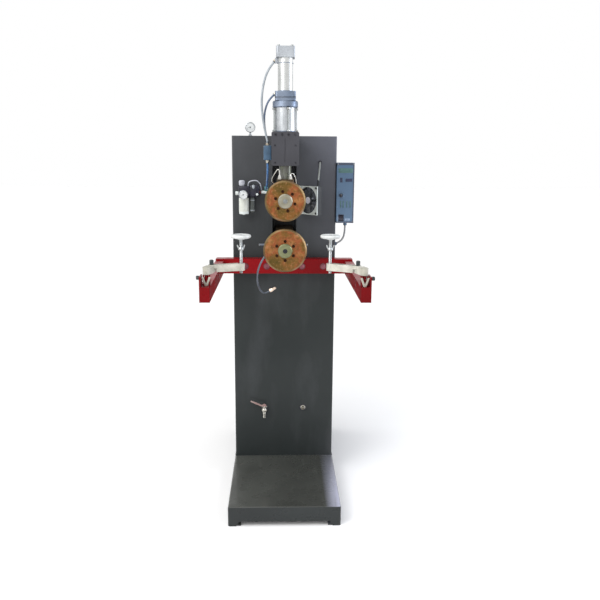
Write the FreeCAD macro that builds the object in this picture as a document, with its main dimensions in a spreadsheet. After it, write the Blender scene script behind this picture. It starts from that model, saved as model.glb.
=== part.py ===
import FreeCAD, Part
import math
import os
import Sketcher

# A pneumatic roll (seam) welder with a column cabinet and a swivelling work support.
# Millimetres. X is the operator's right, Y points away from the operator, Z is up.
# The origin lies on the floor, at the centre of the four anchor bolt holes.

SIZES = {
    # base platform, a folded sheet tray on four corner feet
    "base_width": 456, "base_depth": 1000, "base_height": 84, "base_sheet": 4,
    "base_edge_radius": 7, "foot_height": 20, "foot_width": 46, "foot_slant": 14,
    "anchor_plate": 48, "anchor_plate_thickness": 6, "anchor_hole_radius": 7, "anchor_inset": 27,
    # cabinet
    "cabinet_width": 450, "cabinet_depth": 520, "cabinet_height": 1462, "cabinet_sheet": 2.5,
    "cabinet_edge_radius": 8, "front_reach": 480, "slot_width": 104, "slot_bottom": 1058,
    "spine_position": 170, "spine_thickness": 12, "back_flange": 28, "cover_thickness": 2,
    # welding arms and the press
    "arm_width": 92, "arm_height": 103.5, "arm_wall": 8, "head_reach": 366, "housing_width": 102,
    "housing_depth": 92, "housing_bottom": 1426, "housing_top": 1550, "housing_chamfer": 5,
    "arm_drop": 6.5,
    "lower_arm_side": 76, "ram_radius": 23, "ram_length": 163, "rod_radius": 10,
    "running_gap": 0.05, "head_width": 64, "head_top": 1377, "head_bottom": 1258,
    "tube_radius": 38, "tube_bore": 36, "tube_length": 86, "flange_radius": 47,
    "flange_thickness": 24, "block_side": 76, "block_height": 33, "slim_tube_radius": 28,
    "slim_tube_bore": 25, "slim_tube_length": 118, "cap_side": 68, "cap_height": 38,
    "piston_lift": 44, "tie_rod_radius": 3.5, "tie_rod_circle": 42.2,
    "tie_nut_radius": 8, "tie_nut_height": 8,
    # wheels
    "upper_axis": 1298, "lower_axis": 1113, "upper_wheel_radius": 76, "lower_wheel_radius": 82,
    "wheel_thickness": 14, "wheel_bevel": 4, "wheel_plane": 432, "shaft_radius": 18,
    "nose_radius": 27, "nose_length": 9, "plate_radius": 46, "plate_thickness": 8,
    "upper_bolt_circle": 37, "lower_bolt_circle": 36, "bolt_head_radius": 5.5,
    "bolt_head_height": 5,
    # wheel drive
    "gear_module": 2.5, "pinion_teeth": 20, "gear_teeth": 60, "gear_width": 18, "gear_gap": 6,
    "motor_radius": 40, "motor_length": 120, "motor_shaft_radius": 8,
    # welding transformer and its copper bars
    "transformer_width": 220, "transformer_depth": 180, "transformer_height": 240,
    "transformer_floor": 560, "bar_width": 14, "bar_depth": 20,
    # work support
    "beam_length": 596, "beam_height": 64, "beam_depth": 50, "beam_floor": 960, "beam_wall": 4,
    "side_arm_width": 36, "side_arm_height": 53, "side_arm_floor": 964, "side_arm_wall": 3,
    "side_arm_reach": 670, "riser_height": 37, "riser_length": 60, "riser_thickness": 5,
    "pivot_offset": 276, "left_pivot_reach": 626, "right_pivot_reach": 640, "pivot_radius": 6,
    "link_floor": 1056, "link_thickness": 26, "link_half_width": 13, "lap_gap": 0.6, "lap_radius": 19.5,
    "lower_link_length": 52, "upper_link_length": 109, "left_lower_angle": 75,
    "left_upper_angle": 19, "right_lower_angle": 70, "right_upper_angle": 28,
    "elbow_screw_radius": 4, "post_radius": 6, "post_foot": 1046, "disc_floor": 1168,
    "disc_radius": 36.5, "disc_thickness": 18, "wing_floor": 1130, "wing_height": 20,
    "lock_height": 1044, "lock_knob_radius": 7.5, "elbow_knob_radius": 8, "knob_height": 18,
    # air preparation set on the cabinet's face
    "air_set_left": -195, "air_set_floor": 1292, "filter_width": 44, "oiler_width": 44,
    "air_set_depth": 46, "air_set_height": 53, "air_set_stand": 22, "bowl_radius": 21,
    "bowl_length": 78, "oiler_bowl_radius": 10, "oiler_bowl_length": 70, "dial_radius": 19,
    # fan
    "fan_side": 120, "fan_depth": 25, "fan_bore": 56, "fan_centre_x": 97, "fan_centre_z": 1279,
    "fan_stand": 70, "fan_turn": 50, "fan_hub": 20, "fan_tip_gap": 2,
    # control box
    "control_width": 77, "control_depth": 120, "control_height": 258, "control_floor": 1178,
    "control_sheet": 2, "control_overhang": 10,
    # gauge on the cabinet's roof, water valve on its face
    "roof_gauge_x": -148, "roof_gauge_inset": 60, "roof_gauge_radius": 22,
    "roof_gauge_height": 37, "water_x": -90, "water_z": 322, "drain_x": 88,
    # pipes and hoses
    "hose_radius": 4, "thin_hose_radius": 3.5, "cable_radius": 4, "spray_pipe_radius": 3.5,
}

doc = FreeCAD.newDocument("roll_welder")
sheet = doc.addObject("Spreadsheet::Sheet", "Sizes")
for row, (alias, number) in enumerate(SIZES.items(), start=1):
    sheet.set("A%d" % row, alias)
    sheet.set("B%d" % row, str(number))
    sheet.setAlias("B%d" % row, alias)
doc.recompute()


class Size:
    """A length: its number now, and the sheet formula that keeps it up to date."""

    def __init__(self, value, formula):
        self.value = value
        self.formula = formula

    def __add__(self, other):
        other = size_of(other)
        return Size(self.value + other.value, "(%s + %s)" % (self.formula, other.formula))

    def __sub__(self, other):
        other = size_of(other)
        return Size(self.value - other.value, "(%s - %s)" % (self.formula, other.formula))

    def __mul__(self, other):
        other = size_of(other)
        return Size(self.value * other.value, "(%s * %s)" % (self.formula, other.formula))

    def __truediv__(self, other):
        other = size_of(other)
        return Size(self.value / other.value, "(%s / %s)" % (self.formula, other.formula))

    def __neg__(self):
        return Size(-self.value, "(0 - %s)" % self.formula)

    __radd__ = __add__
    __rmul__ = __mul__

    def __rsub__(self, other):
        return size_of(other) - self


def size_of(thing):
    """A plain number as a Size; a Size as it is."""
    if isinstance(thing, Size):
        return thing
    return Size(float(thing), "%.6f" % thing)


class SheetValues:
    """Reads S.name as the sheet's value of that name."""

    def __getattr__(self, name):
        return Size(float(SIZES[name]), "Sizes.%s" % name)


S = SheetValues()


def cosine(angle):
    """Cosine of an angle in degrees."""
    angle = size_of(angle)
    return Size(math.cos(math.radians(angle.value)), "cos(%s)" % angle.formula)


def sine(angle):
    """Sine of an angle in degrees."""
    angle = size_of(angle)
    return Size(math.sin(math.radians(angle.value)), "sin(%s)" % angle.formula)


# ---------------------------------------------------------------- building blocks

ALONG = {
    "X": FreeCAD.Rotation(FreeCAD.Vector(0, 0, 1), FreeCAD.Vector(1, 0, 0)),
    "-X": FreeCAD.Rotation(FreeCAD.Vector(0, 0, 1), FreeCAD.Vector(-1, 0, 0)),
    "Y": FreeCAD.Rotation(FreeCAD.Vector(0, 0, 1), FreeCAD.Vector(0, 1, 0)),
    "-Y": FreeCAD.Rotation(FreeCAD.Vector(0, 0, 1), FreeCAD.Vector(0, -1, 0)),
    "Z": FreeCAD.Rotation(),
}
SUB_PARTS = {}


def bind(item, prop, size):
    """Bind one property of an object to a size."""
    item.setExpression(prop, size_of(size).formula)


def place(item, at, turn=None):
    """Put an object at a point given by three sizes, turned by a rotation."""
    start = FreeCAD.Vector(*[size_of(value).value for value in at])
    item.Placement = FreeCAD.Placement(start, turn or FreeCAD.Rotation())
    for axis, value in zip("xyz", at):
        bind(item, "Placement.Base." + axis, value)
    return item


def node(label, item):
    """Declare an object as a sub-part, written to parts/label.step."""
    item.Label = label
    SUB_PARTS[label] = item
    return item


def block(name, low, high):
    """A box between its lowest and its highest corner."""
    item = doc.addObject("Part::Box", name)
    for prop, first, last in zip(("Length", "Width", "Height"), low, high):
        bind(item, prop, size_of(last) - first)
    return place(item, low)


def rod(name, start, along, length, radius):
    """A cylinder from its start point along X, Y, -Y or Z."""
    item = doc.addObject("Part::Cylinder", name)
    bind(item, "Radius", radius)
    bind(item, "Height", length)
    return place(item, start, ALONG[along])


def cut(name, base, tool):
    """One solid less another."""
    item = doc.addObject("Part::Cut", name)
    item.Base = base
    item.Tool = tool
    return item


def fuse(name, items):
    """Several touching solids made into one."""
    item = doc.addObject("Part::MultiFuse", name)
    item.Shapes = items
    item.Refine = True
    return item


def group(name, items):
    """Several separate solids kept in one node."""
    item = doc.addObject("Part::Compound", name)
    item.Links = items
    return item


def new_body(name):
    """An empty PartDesign body."""
    return doc.addObject("PartDesign::Body", name)


def new_sketch(body, name, plane):
    """A sketch on one of the body's own origin planes."""
    sketch = body.newObject("Sketcher::SketchObject", name)
    face = [item for item in body.Origin.OriginFeatures if item.Role == plane][0]
    sketch.AttachmentSupport = [(face, "")]
    sketch.MapMode = "FlatFace"
    return sketch


def pin_point(sketch, line, end, point):
    """Hold one end of a line at two sizes from the sketch's origin."""
    for kind, size in zip(("DistanceX", "DistanceY"), point):
        size = size_of(size)
        index = sketch.addConstraint(Sketcher.Constraint(kind, -1, 1, line, end, size.value))
        sketch.setExpression("Constraints[%d]" % index, size.formula)


def draw_outline(sketch, points):
    """A closed polygon with every corner held by two sizes."""
    corners = [FreeCAD.Vector(size_of(x).value, size_of(y).value, 0) for x, y in points]
    first = sketch.GeometryCount
    count = len(corners)
    for i in range(count):
        sketch.addGeometry(Part.LineSegment(corners[i], corners[(i + 1) % count]), False)
    for i in range(count):
        sketch.addConstraint(Sketcher.Constraint(
            "Coincident", first + i, 2, first + (i + 1) % count, 1))
    for i, point in enumerate(points):
        pin_point(sketch, first + i, 1, point)


def draw_circle(sketch, centre, radius):
    """A circle with its centre and its radius held by sizes."""
    middle = FreeCAD.Vector(size_of(centre[0]).value, size_of(centre[1]).value, 0)
    circle = Part.Circle(middle, FreeCAD.Vector(0, 0, 1), size_of(radius).value)
    line = sketch.addGeometry(circle, False)
    index = sketch.addConstraint(Sketcher.Constraint("Radius", line, size_of(radius).value))
    sketch.setExpression("Constraints[%d]" % index, size_of(radius).formula)
    pin_point(sketch, line, 3, centre)


def pad(body, sketch, thickness, backwards=False):
    """Give a sketch its thickness."""
    feature = body.newObject("PartDesign::Pad", "Pad")
    feature.Profile = sketch
    feature.Reversed = backwards
    bind(feature, "Length", thickness)
    return feature


def plate(name, plane, at, outline, thickness, holes=(), backwards=False):
    """A flat piece: an outline with round holes, padded off one plane of its own body."""
    body = new_body(name)
    sketch = new_sketch(body, name + "_outline", plane)
    draw_outline(sketch, outline)
    for centre, radius in holes:
        draw_circle(sketch, centre, radius)
    pad(body, sketch, thickness, backwards)
    place(body, at)
    return body


def turned(name, at, along, profile):
    """A turned piece: a closed profile of (radius, height) points, about its own axis."""
    body = new_body(name)
    sketch = new_sketch(body, name + "_profile", "XZ_Plane")
    draw_outline(sketch, profile)
    feature = body.newObject("PartDesign::Revolution", "Revolution")
    feature.Profile = sketch
    feature.ReferenceAxis = (sketch, ["V_Axis"])
    feature.Angle = 360
    place(body, at, ALONG[along])
    return body


def edges_along(shape, direction):
    """Names of a shape's straight edges that run along one axis."""
    names = []
    for number, edge in enumerate(shape.Edges, start=1):
        if isinstance(edge.Curve, Part.Line):
            if abs(abs(edge.tangentAt(edge.FirstParameter).dot(direction)) - 1) < 1e-6:
                names.append("Edge%d" % number)
    return names


def top_edges(shape, level):
    """Names of a shape's edges that lie at one height."""
    return ["Edge%d" % number for number, edge in enumerate(shape.Edges, start=1)
            if all(abs(vertex.Z - level) < 1e-6 for vertex in edge.Vertexes)]


def dressed(body, kind, prop, base, names, size):
    """Round or chamfer the named edges of a body's last feature."""
    feature = body.newObject(kind, kind.split("::")[1])
    feature.Base = (base, names)
    bind(feature, prop, size)
    return feature


def rounded_block(name, low, high, radius, top_radius=None):
    """A box whose upright edges, and perhaps its top edges, are rounded."""
    width, depth, height = [size_of(last) - first for first, last in zip(low, high)]
    body = new_body(name)
    sketch = new_sketch(body, name + "_outline", "XY_Plane")
    draw_outline(sketch, [(0, 0), (width, 0), (width, depth), (0, depth)])
    base = pad(body, sketch, height)
    doc.recompute()
    upright = edges_along(base.Shape, FreeCAD.Vector(0, 0, 1))
    base = dressed(body, "PartDesign::Fillet", "Radius", base, upright, radius)
    if top_radius is not None:
        doc.recompute()
        rim = top_edges(base.Shape, height.value)
        dressed(body, "PartDesign::Fillet", "Radius", base, rim, top_radius)
    return place(body, low)


def hexagon(name, start, along, across, length):
    """A hexagonal head or nut, its radius measured to the corners."""
    item = doc.addObject("Part::Prism", name)
    item.Polygon = 6
    bind(item, "Circumradius", across)
    bind(item, "Height", length)
    return place(item, start, ALONG[along])


def route_wire(points):
    """Straight runs joined by tangent arcs as large as their two runs allow."""
    corners = [FreeCAD.Vector(*point) for point in points]
    edges = []
    radii = []
    start = corners[0]
    for before, corner, after in zip(corners, corners[1:], corners[2:]):
        back = (before - corner).normalize()
        ahead = (after - corner).normalize()
        half_turn = (math.pi - back.getAngle(ahead)) / 2
        trim = 0.45 * min(before.distanceToPoint(corner), corner.distanceToPoint(after))
        radius = trim / math.tan(half_turn)
        entry = corner + back * trim
        leave = corner + ahead * trim
        inward = (back + ahead).normalize()
        middle = corner + inward * (radius / math.cos(half_turn) - radius)
        edges.append(Part.LineSegment(start, entry).toShape())
        edges.append(Part.Arc(entry, middle, leave).toShape())
        start = leave
        radii.append(radius)
    edges.append(Part.LineSegment(start, corners[-1]).toShape())
    return Part.Wire(edges), radii


def tube_along(label, points, radius):
    """A round hose, cable or pipe that follows a route, as a solid."""
    wire, radii = route_wire(points)
    first = wire.Edges[0]
    ring = Part.Circle(first.valueAt(first.FirstParameter), first.tangentAt(first.FirstParameter), radius)
    profile = Part.Wire([ring.toShape()])
    shape = wire.makePipeShell([profile], True, False, 2)
    expected = math.pi * radius * radius * wire.Length
    print("%s: length %.0f, volume ratio %.4f, radii %s" % (
        label, wire.Length, shape.Volume / expected, " ".join("%.0f" % r for r in radii)))
    item = doc.addObject("Part::Feature", label)
    item.Shape = shape
    item.Placement = FreeCAD.Placement()
    return item


# ---------------------------------------------------------------- shared places

FRONT = S.front_reach - S.base_depth / 2
BACK = FRONT + S.cabinet_depth
ROOF = S.base_height + S.cabinet_height
HALF = S.cabinet_width / 2
HEAD_Y = FRONT - S.head_reach
WHEEL_Y = FRONT - S.wheel_plane
SPINE = FRONT + S.spine_position
SPINE_BACK = SPINE + S.spine_thickness
ARM_END = SPINE_BACK + S.bar_depth + 4
ARM_TOP = S.housing_top - S.arm_drop
GEAR_Y = ARM_END + S.gear_gap
LOWER_HALF = S.lower_arm_side / 2
PITCH_SUM = S.gear_module * (S.pinion_teeth + S.gear_teeth) / 2
MOTOR_Z = S.lower_axis - PITCH_SUM
BEAM_FRONT = FRONT - S.beam_depth
SIDE_TOP = S.side_arm_floor + S.side_arm_height
SIDE_OUTER = S.beam_length / 2


# ---------------------------------------------------------------- base and cabinet

def foot_gap(name, plane, span, at, thickness):
    """The opening under one pair of skirts, with slanted ends."""
    half = span / 2 - S.foot_width
    points = [(-half - S.foot_slant, -1), (half + S.foot_slant, -1), (half, S.foot_height),
              (-half, S.foot_height)]
    return plate(name, plane, at, points, thickness, backwards=(plane == "XZ_Plane"))


def base_platform():
    """A folded tray, open below, with a drilled plate welded in each corner foot."""
    half_w = S.base_width / 2
    half_d = S.base_depth / 2
    wall = S.base_sheet
    outer = rounded_block("base_outer", (-half_w, -half_d, 0), (half_w, half_d, S.base_height),
                          S.base_edge_radius, S.base_edge_radius)
    inner = rounded_block("base_inner", (-half_w + wall, -half_d + wall, -1),
                          (half_w - wall, half_d - wall, S.base_height - wall),
                          S.base_edge_radius - wall)
    tray = cut("base_tray", outer, inner)
    front_gap = foot_gap("base_front_gap", "XZ_Plane", S.base_width, (0, -half_d - 1, 0),
                         S.base_depth + 2)
    side_gap = foot_gap("base_side_gap", "YZ_Plane", S.base_depth, (-half_w - 1, 0, 0),
                        S.base_width + 2)
    tray = cut("base_skirt", tray, fuse("base_gaps", [front_gap, side_gap]))
    plates = []
    holes = []
    for i, (side, end) in enumerate(((-1, -1), (1, -1), (1, 1), (-1, 1))):
        near = (side * (half_w - wall), end * (half_d - wall))
        far = (near[0] - side * S.anchor_plate, near[1] - end * S.anchor_plate)
        low = [near[0] if side < 0 else far[0], near[1] if end < 0 else far[1], 0]
        high = [far[0] if side < 0 else near[0], far[1] if end < 0 else near[1],
                S.anchor_plate_thickness]
        plates.append(block("anchor_plate_%d" % i, low, high))
        centre = (side * (half_w - S.anchor_inset), end * (half_d - S.anchor_inset), -1)
        holes.append(rod("anchor_hole_%d" % i, centre, "Z", S.anchor_plate_thickness + 2,
                         S.anchor_hole_radius))
    solid = fuse("base_welded", [tray] + plates)
    node("base_platform", cut("base_platform", solid, fuse("anchor_holes", holes)))


def cabinet_shell():
    """Folded shell with a throat slot, a recess behind it and a thick spine plate inside."""
    wall = S.cabinet_sheet
    floor = S.base_height
    outer = rounded_block("shell_outer", (-HALF, FRONT, floor), (HALF, BACK - S.cover_thickness, ROOF),
                          S.cabinet_edge_radius)
    inner = rounded_block("shell_inner", (-HALF + wall, FRONT + wall, floor + wall),
                          (HALF - wall, BACK - S.cover_thickness - wall, ROOF - wall),
                          S.cabinet_edge_radius - wall)
    slot = S.slot_width / 2
    recess = block("slot_cut", (-slot, FRONT - 1, S.slot_bottom), (slot, SPINE, ROOF - wall))
    opening = block("back_opening", (-HALF + S.back_flange, SPINE + 50, floor + S.back_flange),
                    (HALF - S.back_flange, BACK + 1, ROOF - S.back_flange))
    shell = cut("shell_hollow", outer, fuse("shell_cuts", [inner, opening]))
    spine = block("spine", (-HALF + wall, SPINE, floor + wall), (HALF - wall, SPINE_BACK, ROOF - wall))
    liner = block("liner_outer", (-slot - wall, FRONT + wall, S.slot_bottom - wall),
                  (slot + wall, SPINE, ROOF - wall))
    welded = cut("shell_slotted", fuse("shell_welded", [shell, spine, liner]), recess)
    lower = block("lower_arm_hole", (-LOWER_HALF, SPINE - 1, S.lower_axis - LOWER_HALF),
                  (LOWER_HALF, SPINE_BACK + 1, S.lower_axis + LOWER_HALF))
    upper = block("upper_arm_hole", (-S.arm_width / 2, SPINE - 1, ARM_TOP - S.arm_height),
                  (S.arm_width / 2, SPINE_BACK + 1, ARM_TOP))
    motor = rod("motor_hole", (0, SPINE - 1, MOTOR_Z), "Y", S.spine_thickness + 2,
                S.motor_shaft_radius + 2)
    holes = fuse("spine_holes", [lower, upper, motor])
    node("cabinet_shell", cut("cabinet_shell", welded, holes))


def rear_cover():
    """A screwed service cover that closes the whole back of the cabinet."""
    edge = 5
    low = (-HALF + edge, 0, S.base_height + edge)
    outline = [(low[0], low[2]), (HALF - edge, low[2]), (HALF - edge, ROOF - edge), (low[0], ROOF - edge)]
    node("rear_cover", plate("rear_cover", "XZ_Plane", (0, BACK - S.cover_thickness, 0), outline,
                             S.cover_thickness, backwards=True))


# ---------------------------------------------------------------- arms, press and cylinder

def upper_arm():
    """A welded box beam from the spine plate to the guide housing."""
    half = S.arm_width / 2
    top = ARM_TOP
    bottom = top - S.arm_height
    start = HEAD_Y + S.housing_depth / 2
    wall = S.arm_wall
    outer = block("upper_arm_outer", (-half, start, bottom), (half, ARM_END, top))
    inner = block("upper_arm_inner", (-half + wall, start - 1, bottom + wall),
                  (half - wall, ARM_END + 1, top - wall))
    node("upper_arm", cut("upper_arm", outer, inner))


def guide_housing():
    """The block that the ram slides in, with a gland for the piston rod on top."""
    half_w = S.housing_width / 2
    half_d = S.housing_depth / 2
    body = new_body("housing_block")
    sketch = new_sketch(body, "housing_outline", "XZ_Plane")
    draw_outline(sketch, [(-half_w, S.housing_bottom), (half_w, S.housing_bottom),
                          (half_w, S.housing_top), (-half_w, S.housing_top)])
    base = pad(body, sketch, S.housing_depth, backwards=True)
    doc.recompute()
    sides = edges_along(base.Shape, FreeCAD.Vector(0, 1, 0))
    dressed(body, "PartDesign::Chamfer", "Size", base, sides, S.housing_chamfer)
    place(body, (0, HEAD_Y - half_d, 0))
    gland = 8
    bore = rod("ram_bore", (0, HEAD_Y, S.housing_bottom - 1), "Z",
               S.housing_top - S.housing_bottom - gland + 1, S.ram_radius + S.running_gap)
    rod_hole = rod("rod_gland", (0, HEAD_Y, S.housing_top - gland - 1), "Z", gland + 2,
                   S.rod_radius + S.running_gap)
    groove = block("housing_groove", (-1.5, HEAD_Y - half_d - 1, S.housing_bottom + 12),
                   (1.5, HEAD_Y - half_d + 1.5, S.housing_top - 26))
    tools = fuse("housing_bores", [bore, rod_hole, groove])
    node("guide_housing", cut("guide_housing", body, tools))


def cylinder():
    """A tandem air cylinder: wide tube, flanged centre block, slim tube and top cap."""
    low = S.housing_top
    ring = low + S.tube_length
    mid = ring + S.flange_thickness
    slim = mid + S.block_height
    cap = slim + S.slim_tube_length
    node("cylinder_lower_tube", turned("cylinder_lower_tube", (0, HEAD_Y, low), "Z", [
        (S.tube_bore, 0), (S.tube_radius, 0), (S.tube_radius, S.tube_length),
        (S.tube_bore, S.tube_length)]))
    flange = turned("cylinder_flange", (0, HEAD_Y, ring), "Z", [
        (0, 0), (S.flange_radius - 4, 0), (S.flange_radius, 4), (S.flange_radius, S.flange_thickness - 3),
        (S.flange_radius - 3, S.flange_thickness), (0, S.flange_thickness)])
    half = S.block_side / 2
    square = rounded_block("cylinder_block", (-half, HEAD_Y - half, mid), (half, HEAD_Y + half, slim), 9)
    bore = rod("centre_bore", (0, HEAD_Y, ring - 1), "Z", S.flange_thickness + S.block_height + 2,
               S.rod_radius + S.running_gap)
    node("cylinder_centre_block", cut("cylinder_centre_block", fuse("centre_solid", [flange, square]), bore))
    node("cylinder_upper_tube", turned("cylinder_upper_tube", (0, HEAD_Y, slim), "Z", [
        (S.slim_tube_bore, 0), (S.slim_tube_radius, 0), (S.slim_tube_radius, S.slim_tube_length),
        (S.slim_tube_bore, S.slim_tube_length)]))
    half = S.cap_side / 2
    top = rounded_block("cap_block", (-half, HEAD_Y - half, cap),
                        (half, HEAD_Y + half, cap + S.cap_height), 6)
    port = block("cap_port", (-half - 4, HEAD_Y - 8, cap - 18), (-S.slim_tube_radius, HEAD_Y + 8, cap))
    node("cylinder_top_cap", fuse("cylinder_top_cap", [top, port]))


def piston_rod():
    """The rod with its two pistons, resting on the ram."""
    lift = S.piston_lift
    foot = S.head_top + S.ram_length
    low = S.housing_top - foot + lift
    high = S.housing_top + S.tube_length + S.flange_thickness + S.block_height - foot + lift + 4
    wide = S.tube_bore - S.running_gap
    slim = S.slim_tube_bore - S.running_gap
    narrow = S.rod_radius
    node("piston_rod", turned("piston_rod", (0, HEAD_Y, foot), "Z", [
        (0, 0), (narrow, 0), (narrow, low), (wide, low), (wide, low + 24), (narrow, low + 24),
        (narrow, high), (slim, high), (slim, high + 18), (0, high + 18)]))


def ram_and_head():
    """The chromed ram and the bearing block of the upper wheel."""
    node("ram", turned("ram", (0, HEAD_Y, S.head_top), "Z", [
        (0, 0), (S.ram_radius, 0), (S.ram_radius, S.ram_length), (0, S.ram_length)]))
    half = S.head_width / 2
    front = HEAD_Y - 46
    back = HEAD_Y + 34
    block_body = rounded_block("head_block", (-half, front, S.head_bottom), (half, back, S.head_top), 6)
    bore = rod("head_bore", (0, front - 1, S.upper_axis), "Y", 82, S.shaft_radius + S.running_gap)
    node("upper_head", cut("upper_head", block_body, bore))


def lower_arm():
    """The copper alloy arm with the bearing bore of the lower shaft along its length."""
    front = HEAD_Y - 46
    half = LOWER_HALF
    bar = plate("lower_arm_bar", "XZ_Plane", (0, front, S.lower_axis),
                [(-half, -half), (half, -half), (half, half), (-half, half)],
                ARM_END - front, [((0, 0), S.shaft_radius + S.running_gap)], backwards=True)
    node("lower_arm", bar)


def wheel_shaft(label, axis, tail):
    """A shaft with a clamping plate behind the wheel and a nose through its middle."""
    front = WHEEL_Y - S.wheel_thickness / 2 - S.nose_length
    nose = S.nose_length + S.wheel_thickness
    seat = nose + S.plate_thickness
    length = tail - front
    return turned(label, (0, front, axis), "Y", [
        (0, 0), (S.nose_radius - 2, 0), (S.nose_radius, 2), (S.nose_radius, nose),
        (S.plate_radius, nose), (S.plate_radius, seat), (S.shaft_radius, seat),
        (S.shaft_radius, length), (0, length)])


def wheel(label, axis, radius):
    """A copper roll electrode with a bevelled rim and a bore for the shaft's nose."""
    back = WHEEL_Y + S.wheel_thickness / 2
    bevel = S.wheel_bevel
    node(label, turned(label, (0, back, axis), "-Y", [
        (S.nose_radius, 0), (radius - bevel, 0), (radius, bevel), (radius, S.wheel_thickness - bevel),
        (radius - bevel, S.wheel_thickness), (S.nose_radius, S.wheel_thickness)]))


def wheel_bolts(label, axis, circle, first_angle):
    """Six bolt heads on the wheel's face."""
    face = WHEEL_Y - S.wheel_thickness / 2
    heads = []
    for i in range(6):
        angle = first_angle + 60 * i
        start = (circle * cosine(angle), face, axis + circle * sine(angle))
        heads.append(hexagon("%s_%d" % (label, i), start, "-Y", S.bolt_head_radius, S.bolt_head_height))
    node(label, group(label, heads))


def wheels():
    """Both roll electrodes with their shafts and bolts."""
    collar = 8
    back = HEAD_Y + 34 + 0.3
    shaft = wheel_shaft("upper_shaft_turned", S.upper_axis, back + collar)
    ring = turned("upper_collar", (0, back, S.upper_axis), "Y", [
        (S.shaft_radius - 1, 0), (S.shaft_radius + 8, 0), (S.shaft_radius + 8, collar),
        (S.shaft_radius - 1, collar)])
    node("upper_shaft", fuse("upper_shaft", [shaft, ring]))
    wheel("upper_wheel", S.upper_axis, S.upper_wheel_radius)
    wheel_bolts("upper_wheel_bolts", S.upper_axis, S.upper_bolt_circle, 45)
    node("lower_shaft", wheel_shaft("lower_shaft", S.lower_axis, GEAR_Y + S.gear_width + 4))
    wheel("lower_wheel", S.lower_axis, S.lower_wheel_radius)
    wheel_bolts("lower_wheel_bolts", S.lower_axis, S.lower_bolt_circle, 30)


def current_shunt():
    """A laminated copper strap that bends as the head moves, from head to arm."""
    back = HEAD_Y + 34
    roof = ARM_TOP - S.arm_height
    foot = S.upper_axis + 32
    outline = [(back, foot), (back + 46, foot), (back + 54, foot + 8), (back + 54, roof),
               (back + 44, roof), (back + 44, foot + 14), (back + 40, foot + 10), (back, foot + 10)]
    node("current_shunt", plate("current_shunt", "YZ_Plane", (-22, 0, 0), outline, 44))


# ---------------------------------------------------------------- drive and power

def toothed_wheel(label, at, teeth, bore, first_angle):
    """A spur gear blank with straight-sided teeth set round it by a polar pattern."""
    pitch = S.gear_module * teeth / 2
    root = pitch - 1.3 * S.gear_module
    tip = pitch + 0.9 * S.gear_module
    foot = S.gear_module * 0.72
    crest = S.gear_module * 0.3
    body = new_body(label)
    ring = new_sketch(body, label + "_ring", "XY_Plane")
    draw_circle(ring, (0, 0), root)
    if bore is not None:
        draw_circle(ring, (0, 0), bore)
    pad(body, ring, S.gear_width)
    tooth_sketch = new_sketch(body, label + "_tooth", "XY_Plane")
    draw_outline(tooth_sketch, [(root - 1, -foot), (tip, -crest), (tip, crest), (root - 1, foot)])
    tooth = pad(body, tooth_sketch, S.gear_width)
    doc.recompute()
    pattern = body.newObject("PartDesign::PolarPattern", "PolarPattern")
    pattern.Originals = [tooth]
    pattern.Axis = (tooth_sketch, ["N_Axis"])
    pattern.Angle = 360
    bind(pattern, "Occurrences", teeth)
    body.Tip = pattern
    turn = ALONG["Y"].multiply(FreeCAD.Rotation(FreeCAD.Vector(0, 0, 1), first_angle))
    return place(body, at, turn)


def drive():
    """The geared motor under the throat, its pinion and the gear on the lower shaft."""
    gear = toothed_wheel("driven_gear", (0, GEAR_Y, S.lower_axis), S.gear_teeth, S.shaft_radius, 0)
    node("driven_gear", gear)
    half_step = 180 / SIZES["pinion_teeth"]
    pinion = toothed_wheel("pinion_teeth_ring", (0, GEAR_Y, MOTOR_Z), S.pinion_teeth, None, half_step)
    stub = rod("pinion_stub", (0, SPINE + 0.5, MOTOR_Z), "Y", GEAR_Y - SPINE + 2, S.motor_shaft_radius)
    node("drive_pinion", fuse("drive_pinion", [pinion, stub]))
    start = SPINE - S.motor_length
    foot = 8
    side = S.motor_radius
    can = turned("motor_can", (0, start, MOTOR_Z), "Y", [
        (0, 0), (side - 8, 0), (side, 8), (side, S.motor_length - foot), (0, S.motor_length - foot)])
    flange = block("motor_flange", (-side - 6, SPINE - foot, MOTOR_Z - side - 6),
                   (side + 6, SPINE, MOTOR_Z + side - 1))
    node("gear_motor", fuse("gear_motor", [can, flange]))


def transformer():
    """The welding transformer behind the spine plate: a laminated core and two windings."""
    half = S.transformer_width / 2
    low = S.transformer_floor
    high = low + S.transformer_height
    back = SPINE_BACK + S.transformer_depth
    core = block("core", (-half, SPINE_BACK, low), (half, back, high))
    windings = []
    for side in (-1, 1):
        centre = side * half / 2
        windings.append(rounded_block("winding_%d" % (side + 1), (centre - 42, back, low + 30),
                                      (centre + 42, back + 36, high - 30), 12))
    node("transformer", fuse("transformer", [core] + windings))


def bus_bars():
    """Two copper bars from the transformer, one to each arm."""
    low = S.transformer_floor + S.transformer_height
    y0 = SPINE_BACK
    y1 = y0 + S.bar_depth
    lower_top = S.lower_axis - LOWER_HALF
    short = block("lower_bar", (LOWER_HALF - S.bar_width, y0, low), (LOWER_HALF, y1, lower_top))
    upper_top = ARM_TOP - S.arm_height
    x1 = -LOWER_HALF - 6
    tall = block("upper_bar", (x1 - S.bar_width, y0, low), (x1, y1, upper_top - 12))
    foot = block("upper_bar_foot", (x1 - S.bar_width, y0, upper_top - 12), (0, y1, upper_top))
    node("bus_bars", group("bus_bars", [short, fuse("upper_bar_bent", [tall, foot])]))


# ---------------------------------------------------------------- work support

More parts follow.
